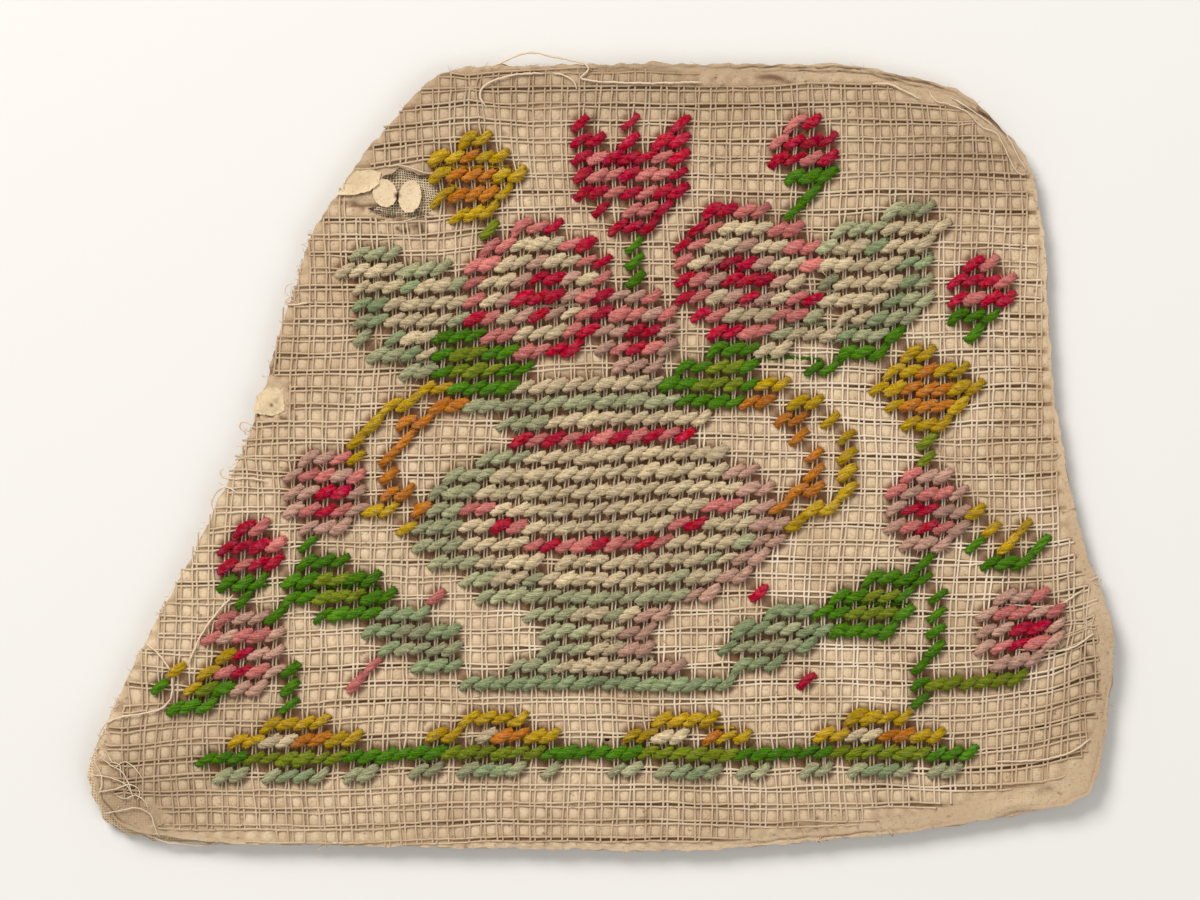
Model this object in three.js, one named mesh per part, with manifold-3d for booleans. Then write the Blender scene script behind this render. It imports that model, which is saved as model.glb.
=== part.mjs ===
// Needlework sampler: a picture in wool on double-thread canvas, cut to an uneven trapezoid.
// The canvas is pasted on paper and the paper on gauze. All three lie flat, face up.
// Millimetres. X runs to the right of the picture, Y up the picture, Z up from the surface it lies on.
import * as THREE from 'three';
import { mergeVertices } from 'three/addons/utils/BufferGeometryUtils.js';
import Module from 'manifold-3d';

const wasm = await Module();
wasm.setup();

// ---- Driving dimensions ----
const GAUZE_THICK = 1.0;
const PAPER_THICK = 1.0;
const CANVAS_THICK = 1.3;
const PLY_CLEARANCE = 0.3; // between neighbouring pieces, above and beside each other
const WAFER_THICK = 1.0;

const OUTLINE_POINTS = 120;
const RINGS = [0.34, 0.6, 0.8, 0.91, 1.0]; // share of the way from a sheet's middle to its edge
const CUT_MARGIN = 2; // how far a cutting prism runs past both faces

// The worked picture, where wool thickens the canvas: an oval field with a soft border.
const WORKED = { x: 1, y: -7, half_width: 66, half_height: 44, border: 0.35, rise: 0.7 };

// The corners of the outline, clockwise from the upper left. x, y: the corner of the widest sheet there.
// round: how far from the corner its curve starts. canvas, paper, gauze: how far each sheet stops short.
const CORNERS = [
  { at: 'upper left', x: -24.8, y: 60.4, round: 4, canvas: 0.4, paper: 0.2, gauze: 1.2 },
  { at: 'top', x: 5, y: 60.8, round: 6, canvas: 1.0, paper: 0.0, gauze: 1.4 },
  { at: 'top dip', x: 27, y: 60.7, round: 6, canvas: 2.6, paper: 0.0, gauze: 1.6 },
  { at: 'top right', x: 44.0, y: 60.6, round: 5, canvas: 2.2, paper: 0.0, gauze: 1.4 },
  { at: 'shoulder', x: 56.6, y: 57.0, round: 6, canvas: 2.8, paper: 0.0, gauze: 1.5 },
  { at: 'shoulder end', x: 62.8, y: 51.8, round: 4, canvas: 2.0, paper: 0.0, gauze: 1.2 },
  { at: 'right cut', x: 66.9, y: 45.2, round: 2, canvas: 0.8, paper: 0.2, gauze: 1.2 },
  { at: 'right edge', x: 68.7, y: 33.5, round: 5, canvas: 0.8, paper: 0.0, gauze: 1.2 },
  { at: 'waist', x: 69.8, y: 12.0, round: 8, canvas: 0.6, paper: 0.2, gauze: 1.2 },
  { at: 'hip', x: 72.9, y: -7.2, round: 6, canvas: 1.4, paper: 0.0, gauze: 1.2 },
  { at: 'flank', x: 79.2, y: -29.0, round: 7, canvas: 3.0, paper: 0.0, gauze: 1.4 },
  { at: 'flank end', x: 77.9, y: -44.6, round: 6, canvas: 1.6, paper: 0.0, gauze: 1.4 },
  { at: 'lower right', x: 75.8, y: -52.9, round: 3, canvas: 5.4, paper: 0.0, gauze: 1.6 },
  { at: 'lower slope', x: 50.4, y: -57.6, round: 8, canvas: 3.6, paper: 0.0, gauze: 1.4 },
  { at: 'bottom', x: 15.0, y: -60.8, round: 8, canvas: 0.8, paper: 0.0, gauze: 1.2 },
  { at: 'bottom left', x: -41.5, y: -60.2, round: 9, canvas: 0.4, paper: 0.4, gauze: 1.0 },
  { at: 'lower left', x: -75.4, y: -58.4, round: 5, canvas: 3.6, paper: 1.4, gauze: 0.0 },
  { at: 'left tip', x: -80.4, y: -48.6, round: 4, canvas: 1.6, paper: 0.6, gauze: 0.0 },
  { at: 'left bulge', x: -67.2, y: -20.6, round: 8, canvas: 0.0, paper: 0.6, gauze: 1.0 },
  { at: 'left knee', x: -54.7, y: 2.6, round: 8, canvas: 0.0, paper: 0.8, gauze: 1.2 },
  { at: 'left shoulder', x: -46.3, y: 32.6, round: 6, canvas: 0.2, paper: 0.4, gauze: 1.2 },
  { at: 'left slope', x: -36.8, y: 47.2, round: 6, canvas: 0.2, paper: 0.4, gauze: 1.4 },
];

// Places where all the pasted layers have sprung up a little together: centre, reach and height.
const LIFTS = [
  { at: 'lower left', x: -79, y: -52, reach: 15, rise: 1.3 },
  { at: 'lower right', x: 76, y: -54, reach: 14, rise: 0.8 },
  { at: 'flank', x: 80, y: -29, reach: 11, rise: 0.9 },
  { at: 'shoulder', x: 61, y: 54, reach: 13, rise: 1.0 },
  { at: 'top', x: 8, y: 62, reach: 9, rise: 0.5 },
  { at: 'left edge', x: -60, y: -6, reach: 9, rise: 0.6 },
];

// The tear, as seen in the canvas and, smaller, in the paper under it. Corners, clockwise.
const CANVAS_TEAR = [
  { x: -39.0, y: 40.6 }, { x: -36.2, y: 44.0 }, { x: -31.6, y: 44.3 }, { x: -26.4, y: 43.0 },
  { x: -25.9, y: 39.6 }, { x: -27.8, y: 37.2 }, { x: -32.8, y: 37.0 }, { x: -37.4, y: 38.2 },
];
const PAPER_TEAR = [
  { x: -33.6, y: 43.2 }, { x: -30.4, y: 43.6 }, { x: -26.7, y: 42.4 },
  { x: -26.3, y: 39.8 }, { x: -28.0, y: 38.3 }, { x: -33.0, y: 38.0 },
];
// The worn place on the left edge that the scrap is pasted into.
const WORN_PLACE = [
  { x: -53.4, y: 9.8 }, { x: -51.0, y: 11.4 }, { x: -48.6, y: 10.9 },
  { x: -48.3, y: 7.0 }, { x: -50.4, y: 6.0 }, { x: -53.8, y: 6.6 },
];

// Paper wafers: middle, half width, half height, turn in degrees, and how many snips cut each one round.
const WAFERS = [
  { name: 'wafer_left', x: -33.2, y: 40.8, half_width: 1.8, half_height: 2.3, turn: 12, snips: 13 },
  { name: 'wafer_right', x: -29.3, y: 40.3, half_width: 1.7, half_height: 2.7, turn: -8, snips: 11 },
];

const FINISHES = {
  gauze_lining: { color: '#b9a588', roughness: 0.95, metalness: 0 },
  paper_backing: { color: '#d3b996', roughness: 0.8, metalness: 0 },
  canvas: { color: '#c8b294', roughness: 0.92, metalness: 0 },
  wafer_left: { color: '#ddc5a3', roughness: 0.7, metalness: 0 },
  wafer_right: { color: '#e0caa8', roughness: 0.7, metalness: 0 },
  edge_scrap: { color: '#dcc6a0', roughness: 0.75, metalness: 0 },
};

// ---- Heights ----
const PAPER_BASE = GAUZE_THICK + PLY_CLEARANCE;
const CANVAS_BASE = PAPER_BASE + PAPER_THICK + PLY_CLEARANCE;

// 1 at the middle of a soft bump, 0 at its rim and past it.
function soften(near) {
  const share = Math.min(1, Math.max(0, near));
  return share * share * (3 - 2 * share);
}

function lift(x, y) {
  return LIFTS.reduce((sum, l) => sum + l.rise * soften(1 - Math.hypot(x - l.x, y - l.y) / l.reach), 0);
}

function workedRise(x, y) {
  const out = Math.hypot((x - WORKED.x) / WORKED.half_width, (y - WORKED.y) / WORKED.half_height);
  return WORKED.rise * soften((1 - out) / WORKED.border);
}

// ---- Outlines ----
// A sheet's corners, each moved its own short way towards the middle of the whole piece.
function cornersOf(sheet) {
  return CORNERS.map((corner) => {
    const away = Math.hypot(corner.x, corner.y);
    const share = 1 - corner[sheet] / away;
    return { point: new THREE.Vector2(corner.x * share, corner.y * share), round: corner.round };
  });
}

// Straight edges joined by curves that start `round` before each corner and end as far after it.
function outlineOf(sheet) {
  const corners = cornersOf(sheet);
  const path = new THREE.Path();
  corners.forEach(({ point, round }, i) => {
    const before = corners[(i + corners.length - 1) % corners.length].point;
    const after = corners[(i + 1) % corners.length].point;
    const start = towards(point, before, round);
    const end = towards(point, after, round);
    if (i === 0) path.moveTo(start.x, start.y);
    else path.lineTo(start.x, start.y);
    path.quadraticCurveTo(point.x, point.y, end.x, end.y);
  });
  path.closePath();
  return path.getSpacedPoints(OUTLINE_POINTS).slice(0, OUTLINE_POINTS);
}

// The point `reach` along the edge from `from` to `to`, and never past its middle.
function towards(from, to, reach) {
  const share = Math.min(reach / from.distanceTo(to), 0.5);
  return from.clone().lerp(to, share);
}

// ---- Sheets ----
// A closed sheet with the given outline: rings of points from the middle out, on both faces.
function sheet(outline, underside, topside) {
  const clockwise = THREE.ShapeUtils.area(outline) < 0;
  const edge = clockwise ? [...outline].reverse() : outline;
  const around = edge.length;
  const points = [];
  for (const heightAt of [topside, underside]) {
    points.push(0, 0, heightAt(0, 0));
    for (const ring of RINGS) {
      for (const p of edge) points.push(p.x * ring, p.y * ring, heightAt(p.x * ring, p.y * ring));
    }
  }
  const face = 1 + RINGS.length * around;
  const at = (side, ring, i) => side * face + 1 + ring * around + (i % around);
  const triangles = [];
  const quad = (a, b, c, d) => triangles.push(a, b, c, a, c, d);
  for (let i = 0; i < around; i += 1) {
    triangles.push(0, at(0, 0, i), at(0, 0, i + 1));
    triangles.push(face, at(1, 0, i + 1), at(1, 0, i));
    for (let ring = 1; ring < RINGS.length; ring += 1) {
      quad(at(0, ring - 1, i), at(0, ring, i), at(0, ring, i + 1), at(0, ring - 1, i + 1));
      quad(at(1, ring - 1, i), at(1, ring - 1, i + 1), at(1, ring, i + 1), at(1, ring, i));
    }
    const rim = RINGS.length - 1;
    quad(at(0, rim, i), at(1, rim, i), at(1, rim, i + 1), at(0, rim, i + 1));
  }
  const geometry = new THREE.BufferGeometry();
  geometry.setAttribute('position', new THREE.Float32BufferAttribute(points, 3));
  geometry.setIndex(triangles);
  return geometry;
}

function gauzeSheet() {
  return sheet(outlineOf('gauze'), lift, (x, y) => GAUZE_THICK + lift(x, y));
}

function paperSheet() {
  const under = (x, y) => PAPER_BASE + lift(x, y);
  return sheet(outlineOf('paper'), under, (x, y) => under(x, y) + PAPER_THICK);
}

function canvasSheet() {
  const under = (x, y) => CANVAS_BASE + lift(x, y);
  return sheet(outlineOf('canvas'), under, (x, y) => under(x, y) + CANVAS_THICK + workedRise(x, y));
}

// ---- Small pieces and cuts ----
// An upright slab between two heights, on a flat outline.
function slab(points, base, top) {
  const shape = new THREE.Shape(points.map((p) => new THREE.Vector2(p.x, p.y)));
  const geometry = new THREE.ExtrudeGeometry(shape, { depth: top - base, bevelEnabled: false });
  return geometry.translate(0, 0, base);
}

function toManifold(geometry) {
  const bare = geometry.clone();
  bare.deleteAttribute('normal');
  bare.deleteAttribute('uv');
  const merged = mergeVertices(bare);
  const vertProperties = merged.getAttribute('position').array;
  const triVerts = new Uint32Array(merged.getIndex().array);
  return new wasm.Manifold(new wasm.Mesh({ numProp: 3, vertProperties, triVerts }));
}

// A sheet with holes cut right through it, one for each outline.
function cutThrough(geometry, ...holes) {
  let solid = toManifold(geometry);
  for (const hole of holes) {
    solid = solid.subtract(toManifold(slab(hole, -CUT_MARGIN, CANVAS_BASE + CANVAS_THICK + CUT_MARGIN)));
  }
  const { vertProperties, triVerts } = solid.getMesh();
  const cut = new THREE.BufferGeometry();
  cut.setAttribute('position', new THREE.Float32BufferAttribute(vertProperties, 3));
  cut.setIndex(Array.from(triVerts));
  return cut;
}

function wafer({ x, y, half_width, half_height, turn, snips }) {
  const rotation = THREE.MathUtils.degToRad(turn);
  const oval = new THREE.EllipseCurve(x, y, half_width, half_height, 0, 2 * Math.PI, false, rotation);
  const points = oval.getPoints(snips).slice(0, snips);
  return slab(points, CANVAS_BASE, CANVAS_BASE + WAFER_THICK);
}

// The scrap fills the worn place, a clearance short of the canvas all round.
function edgeScrap() {
  const middle = new THREE.Box2().setFromPoints(WORN_PLACE.map((p) => new THREE.Vector2(p.x, p.y)))
    .getCenter(new THREE.Vector2());
  const points = WORN_PLACE.map((p) => {
    const reach = Math.hypot(p.x - middle.x, p.y - middle.y);
    const share = 1 - (PLY_CLEARANCE * 1.4) / reach;
    return { x: middle.x + (p.x - middle.x) * share, y: middle.y + (p.y - middle.y) * share };
  });
  return slab(points, CANVAS_BASE, CANVAS_BASE + CANVAS_THICK);
}

// ---- The sampler ----
const sampler = new THREE.Group();

function add(name, geometry) {
  geometry.computeVertexNormals();
  const mesh = new THREE.Mesh(geometry, new THREE.MeshStandardMaterial(FINISHES[name]));
  mesh.name = name;
  sampler.add(mesh);
}

add('gauze_lining', gauzeSheet());
add('paper_backing', cutThrough(paperSheet(), PAPER_TEAR));
add('canvas', cutThrough(canvasSheet(), CANVAS_TEAR, WORN_PLACE));
for (const row of WAFERS) add(row.name, wafer(row));
add('edge_scrap', edgeScrap());

export default sampler;
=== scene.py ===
import math

import bpy
import numpy as np
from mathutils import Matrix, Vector, noise
from mathutils.bvhtree import BVHTree
from mathutils.geometry import delaunay_2d_cdt


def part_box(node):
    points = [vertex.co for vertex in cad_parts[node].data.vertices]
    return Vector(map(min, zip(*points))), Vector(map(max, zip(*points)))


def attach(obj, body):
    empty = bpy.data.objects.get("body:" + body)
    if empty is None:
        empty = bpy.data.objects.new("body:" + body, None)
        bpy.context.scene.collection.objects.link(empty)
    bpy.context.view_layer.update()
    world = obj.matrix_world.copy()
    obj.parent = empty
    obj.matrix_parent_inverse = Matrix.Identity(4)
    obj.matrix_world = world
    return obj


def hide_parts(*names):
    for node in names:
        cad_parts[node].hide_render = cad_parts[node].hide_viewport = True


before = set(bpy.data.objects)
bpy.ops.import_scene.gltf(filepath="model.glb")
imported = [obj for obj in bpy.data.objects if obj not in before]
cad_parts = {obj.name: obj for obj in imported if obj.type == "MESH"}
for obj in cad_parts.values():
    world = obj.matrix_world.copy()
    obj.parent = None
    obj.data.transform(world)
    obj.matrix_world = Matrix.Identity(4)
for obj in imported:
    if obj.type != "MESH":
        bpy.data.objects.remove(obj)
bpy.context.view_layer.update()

# ---------------------------------------------------------------- sizes, in millimetres
MM = 0.001

COLUMN = 2.5          # from one pair of upright threads to the next
ROW = 2.7             # from one pair of cross threads to the next
COLUMNS = 34          # pairs counted out from the middle, each way
ROWS = 24
PAIR_HALF_U = 0.150   # half the gap of a pair, as a share of COLUMN
PAIR_HALF_V = 0.130   # and of ROW
DRAWN_TOGETHER = 0.36  # how much of that gap is lost where wool draws the pair together
THREAD_RADIUS = 0.165
CROSS_GIRTH = 1.08     # how thick a cross thread is, as a share of an upright one
THREAD_SWING = 0.10   # how far a thread rises and dips where it crosses another
THREAD_LEVEL = 0.28   # height of the threads' middle over the canvas solid's underside

GAUZE_PITCH = 0.42    # from one gauze thread to the next
GAUZE_THREAD_RADIUS = 0.075
GAUZE_STEP = 1.3      # from one point of the gauze sheet's mesh to the next

PILLOW = 0.38         # how high the paper swells in an open hole, over the canvas solid's underside
UNDER_THREAD = 0.10   # the paper's height beside a thread
GROOVE_UPRIGHT = 0.12   # between the two threads of an upright pair
GROOVE_CROSS = -0.18    # and of a cross pair
WORKED_LEVEL = -0.38  # and under the wool

WOOL_PLIES = 3
PLY_RADIUS = 0.48
PLY_LAY = 0.29
PLY_TURN = 4.6         # the length in which the plies turn once round each other
STITCH_CREST = 0.86    # height of a stitch's middle over the canvas solid's underside
PLY_UNEVENNESS = 0.17
HAIRS_PER_STITCH = 62
HAIR_LENGTH = 1.0
HAIR_RADIUS = 0.042
STITCH_POINTS = 8
STITCH_JITTER = 0.042  # how far a stitch's ends and middle stray, in cells
CREST_SPREAD = 0.08    # how much the stitches' heights differ, as a share
GIRTH_SPREAD = 0.09    # and their thickness
TINT_SPREAD = 0.45     # and how light they are
FLOAT_REACH = 5        # the most cells that wool carried behind the canvas crosses
FLOAT_SHARE = 0.16     # how many of the places where it could be carried do show it
FLOAT_GIRTH = 0.46

LOOSE_THREAD_RADIUS = 0.15
FRAY_FIBRE_RADIUS = 0.055
LEAST_HEIGHT = 0.06    # the lowest that a loose fibre lies over the surface below

# How far a stitch's end lies from its crossing, as shares of COLUMN and ROW, with its height over the canvas
# solid's underside, by what lies next to that end.
END_BESIDE = (0.62, 0.245, 0.50)    # a stitch of the row's run
END_FREE = (0.46, 0.37, 0.12)       # nothing
END_DIAGONAL = (0.50, 0.48, 0.28)   # only the stitch diagonally next to it

# ---------------------------------------------------------------- colours
def srgb(red, green, blue):
    """A colour given in 0 to 255 as it looks, as the linear RGBA that a shader takes."""
    linear = []
    for value in (red, green, blue):
        share = value / 255
        linear.append(share / 12.92 if share <= 0.04045 else ((share + 0.055) / 1.055) ** 2.4)
    return (*linear, 1.0)


GRIME_TINT = srgb(136, 110, 84)
GRIME_STRENGTH = 0.65

# letter on the chart: (piece, material slot, colour in the light, painted shade: the colour deep between
# fibres and at the stitches' roots)
WOOLS = {
    "r": ("wool_crimson", "wool_crimson", srgb(206, 28, 60), srgb(114, 10, 30)),
    "p": ("wool_pink", "wool_pink", srgb(224, 136, 126), srgb(152, 74, 68)),
    "l": ("wool_pale_pink", "wool_pale_pink", srgb(214, 170, 148), srgb(142, 104, 86)),
    "g": ("wool_bright_green", "wool_leaf_green", srgb(92, 142, 24), srgb(34, 70, 6)),
    "o": ("wool_olive", "wool_olive", srgb(138, 150, 38), srgb(68, 78, 12)),
    "s": ("wool_sage", "wool_sage", srgb(190, 188, 146), srgb(112, 112, 78)),
    "m": ("wool_mist_green", "wool_sage", srgb(166, 178, 132), srgb(96, 106, 68)),
    "y": ("wool_gold", "wool_gold", srgb(212, 174, 32), srgb(128, 94, 10)),
    "a": ("wool_orange", "wool_orange", srgb(212, 134, 44), srgb(134, 70, 14)),
    "t": ("wool_taupe", "wool_taupe", srgb(230, 209, 168), srgb(152, 128, 98)),
}


# ---------------------------------------------------------------- the CAD solids as guides
def smooth(share):
    """0 at 0 and below, 1 at 1 and above, and an easy rise between."""
    share = np.clip(share, 0.0, 1.0)
    return share * share * (3 - 2 * share)


def near_way(way, middle, spread):
    """How near directions lie to a middle one, all in degrees: 1 at it, fading out over the spread."""
    return np.exp(-((((way - middle + 180) % 360) - 180) / spread) ** 2)


def mesh_points(mesh):
    """A mesh's points, in millimetres."""
    points = np.empty(len(mesh.vertices) * 3)
    mesh.vertices.foreach_get("co", points)
    return points.reshape(-1, 3) / MM


class Guide:
    """A sheet's CAD solid, asked for its outline and its heights. centre is what its outline is read from."""

    def __init__(self, node, centre=(0.0, 0.0)):
        self.centre = np.array(centre)
        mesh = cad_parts[node].data
        mesh.calc_loop_triangles()
        corners = np.empty(len(mesh.loop_triangles) * 3, np.int32)
        mesh.loop_triangles.foreach_get("vertices", corners)
        self.points = mesh_points(mesh)
        self.triangles = corners.reshape(-1, 3)
        self.tree = BVHTree.FromPolygons(self.points.tolist(), self.triangles.tolist())
        self.radii = self.reach_each_way()

    def reach_each_way(self, ways=720):
        """How far the solid reaches from the middle, in each of so many directions."""
        flat = self.points[self.triangles][:, :, :2] - self.centre
        start = flat.reshape(-1, 2)
        end = flat[:, [1, 2, 0]].reshape(-1, 2)
        radii = np.zeros(ways)
        for way in range(ways):
            turn = 2 * math.pi * way / ways
            out = np.array([math.cos(turn), math.sin(turn)])
            side = np.array([-out[1], out[0]])
            near, far = start @ side, end @ side
            crossing = (near * far) < 0
            share = near[crossing] / (near[crossing] - far[crossing])
            reach = start[crossing] @ out * (1 - share) + end[crossing] @ out * share
            radii[way] = reach.max()
        return radii

    def reach(self, x, y):
        """How far the outline lies from the middle, in the direction of each x, y."""
        turn = np.mod(np.arctan2(y, x), 2 * math.pi) / (2 * math.pi) * len(self.radii)
        low = np.floor(turn).astype(int) % len(self.radii)
        share = turn - np.floor(turn)
        return self.radii[low] * (1 - share) + self.radii[(low + 1) % len(self.radii)] * share

    def inside(self, x, y, margin=0.0):
        """Whether each x, y lies inside the outline by more than the margin."""
        return np.hypot(x, y) < self.reach(x, y) - margin

    def rim(self, count=360):
        """Points along the outline, evenly spread by direction."""
        turn = np.linspace(0, 2 * math.pi, count, endpoint=False)
        x, y = np.cos(turn), np.sin(turn)
        radius = self.reach(x, y)
        return np.stack([x * radius, y * radius], axis=1) + self.centre

    def heights(self, x, y):
        """The underside's height at each place, and whether the solid is there at all."""
        below_all = -20
        up = Vector((0, 0, 1))
        found = np.zeros(len(x))
        there = np.zeros(len(x), bool)
        for i, (px, py) in enumerate(zip(x, y)):
            hit = self.tree.ray_cast(Vector((px, py, below_all)), up)[0]
            if hit is not None:
                found[i] = hit.z
                there[i] = True
        return found, there


def distance_to(points, x, y):
    """The distance from each x, y to the nearest of the points, worked out for so many at a time."""
    at_a_time = 4000
    nearest = np.empty(len(x))
    for low in range(0, len(x), at_a_time):
        part = slice(low, low + at_a_time)
        apart = np.hypot(x[part, None] - points[None, :, 0], y[part, None] - points[None, :, 1])
        nearest[part] = apart.min(axis=1)
    return nearest


GAUZE = Guide("gauze_lining")
PAPER = Guide("paper_backing")
CANVAS = Guide("canvas")

# Where the three sheets' worn edge lies further out than the solids' (or in, below 0): direction in degrees,
# spread, amount.
EDGE_WEAR = ((51.0, 5.0, -0.8), (40.0, 4.5, -1.0), (150.0, 4.0, -0.8), (195.0, 7.0, -1.0), (210.0, 3.5, -0.9),
             (225.0, 6.0, 1.0), (342.0, 5.0, 0.9))


def wear_edges():
    """Moves the three sheets' outlines in or out where their edge has worn."""
    for sheet in (GAUZE, PAPER, CANVAS):
        way = np.arange(len(sheet.radii)) * 360 / len(sheet.radii)
        for middle, spread, amount in EDGE_WEAR:
            sheet.radii += amount * near_way(way, middle, spread)


wear_edges()


# ---------------------------------------------------------------- the lie of the weave
# Places where threads are drawn towards a point (pull above 0) or pushed from it.
DRAWS = (
    # x, y, reach, pull
    (-73.5, -51.0, 9.0, 0.9),
    (-74.0, -38.0, 9.0, -1.0),
    (75.0, -26.0, 9.0, 1.2),
    (73.0, -50.0, 11.0, -1.2),
    (-26.0, 40.0, 8.0, -0.9),
    (-20.0, 57.0, 8.0, 0.9),
    (58.0, 52.0, 9.0, 0.8),
    (-55.0, 0.0, 7.0, 0.7),
)


def lay(u, v):
    """Where the grid place u columns and v rows from the middle lies on the piece.

    The threads wander in slow waves, rise at the lower right, sink at the upper left and follow the draws.
    """
    x, y = np.broadcast_arrays(np.asarray(u, float) * COLUMN, np.asarray(v, float) * ROW)
    wander_x = 0.50 * np.sin(y / 17 + 0.6) + 0.28 * np.sin(x / 21 + y / 9) + 0.16 * np.sin(y / 4.3 + x / 13)
    wander_y = 0.45 * np.sin(x / 29 + 1.1) + 0.24 * np.sin(y / 15 + x / 11) + 0.12 * np.sin(x / 5.1 + y / 8)
    rise_right = (2.6 * smooth((x - 52) / 30) + 1.7 * smooth((x - 68) / 10)) * np.exp(-(((y + 34) / 22) ** 2))
    fall_left = -0.9 * smooth(-x / 45) * smooth((y - 5) / 40)
    x, y = x + wander_x, y + wander_y + rise_right + fall_left
    for at_x, at_y, reach, pull in DRAWS:
        away_x, away_y = x - at_x, y - at_y
        near = np.exp(-(away_x**2 + away_y**2) / reach**2)
        away = np.hypot(away_x, away_y) + 0.5
        x = x - pull * near * away_x / away
        y = y - pull * near * away_y / away
    return x, y


# ---------------------------------------------------------------- meshes and node helpers
def new_object(name, data):
    """A new object in the scene."""
    made = bpy.data.objects.new(name, data)
    bpy.context.scene.collection.objects.link(made)
    return made


def mesh_piece(name, points, faces=(), edges=()):
    """A new object whose mesh has these points, in millimetres."""
    mesh = bpy.data.meshes.new(name)
    mesh.from_pydata((np.asarray(points, float) * MM).tolist(), list(edges), list(faces))
    mesh.update()
    return new_object(name, mesh)


def give_values(piece, **values):
    """Stores one number a point under each name."""
    for name, numbers in values.items():
        attribute = piece.data.attributes.new(name, "FLOAT", "POINT")
        attribute.data.foreach_set("value", np.asarray(numbers, np.float32))


def put(tree, kind, inputs=None, **settings):
    """Adds a node, sets it up, and links or sets its inputs by name or number."""
    node = tree.nodes.new(kind)
    for name, value in settings.items():
        setattr(node, name, value)
    for key, value in (inputs or {}).items():
        if isinstance(value, bpy.types.NodeSocket):
            tree.links.new(value, node.inputs[key])
        else:
            node.inputs[key].default_value = value
    return node


def maths(tree, operation, a, b=0.0, clamp=False):
    return put(tree, "ShaderNodeMath", {0: a, 1: b}, operation=operation, use_clamp=clamp).outputs[0]


def times(tree, a, b):
    return maths(tree, "MULTIPLY", a, b)


def one_less(tree, mask):
    """1 less a mask: full where the mask is empty."""
    return maths(tree, "SUBTRACT", 1.0, mask)


def scaled(tree, vector, amount):
    return put(tree, "ShaderNodeVectorMath", {0: vector, "Scale": amount}, operation="SCALE").outputs[0]


def moved(tree, vector, by):
    return put(tree, "ShaderNodeVectorMath", {0: vector, 1: by}, operation="ADD").outputs[0]


def clouds(tree, place, scale, detail, roughness=0.5):
    """The outputs of a soft noise over a place: its value first, then three more as a colour."""
    return put(tree, "ShaderNodeTexNoise",
               {"Vector": place, "Scale": scale, "Detail": detail, "Roughness": roughness}).outputs


def eased(tree, value, empty, full):
    """A mask that eases from 0, at the value that empty gives, to 1, at full."""
    return put(tree, "ShaderNodeMapRange", {"Value": value, "From Min": empty, "From Max": full},
               interpolation_type="SMOOTHSTEP").outputs[0]


def between(tree, value, low, high):
    """A value from 0 to 1 moved to a value from low to high."""
    return put(tree, "ShaderNodeMapRange", {"Value": value, "To Min": low, "To Max": high}).outputs[0]


def new_tree(name, kind, inputs, outputs):
    """A node group whose sockets are given as (name, type), or as (name, type, default)."""
    tree = bpy.data.node_groups.new(name, kind)
    for side, sockets in (("INPUT", inputs), ("OUTPUT", outputs)):
        for socket_name, socket_type, *default in sockets:
            socket = tree.interface.new_socket(
                socket_name, in_out=side, socket_type="NodeSocket" + socket_type)
            if default:
                socket.default_value = default[0]
    return tree, tree.nodes.new("NodeGroupInput"), tree.nodes.new("NodeGroupOutput")


def apply_tree(piece, tree, **values):
    """Runs a Geometry Nodes tree on a piece, and leaves the result as its plain mesh."""
    modifier = piece.modifiers.new(tree.name, "NODES")
    modifier.node_group = tree
    sockets = {s.name: s.identifier for s in tree.interface.items_tree if s.in_out == "INPUT"}
    for name, value in values.items():
        modifier[sockets[name.replace("_", " ")]] = value
    depsgraph = bpy.context.evaluated_depsgraph_get()
    made = bpy.data.meshes.new_from_object(piece.evaluated_get(depsgraph))
    piece.modifiers.remove(modifier)
    old, piece.data = piece.data, made
    made.name = piece.name
    bpy.data.meshes.remove(old)
    return piece


def store(tree, geometry, name, value, kind="FLOAT"):
    """Keeps a value under a name at each point of the geometry."""
    return put(tree, "GeometryNodeStoreNamedAttribute", {"Geometry": geometry, "Name": name, "Value": value},
               data_type=kind, domain="POINT").outputs[0]


def stored(tree, name):
    return put(tree, "GeometryNodeInputNamedAttribute", {"Name": name}, data_type="FLOAT").outputs[0]


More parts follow.
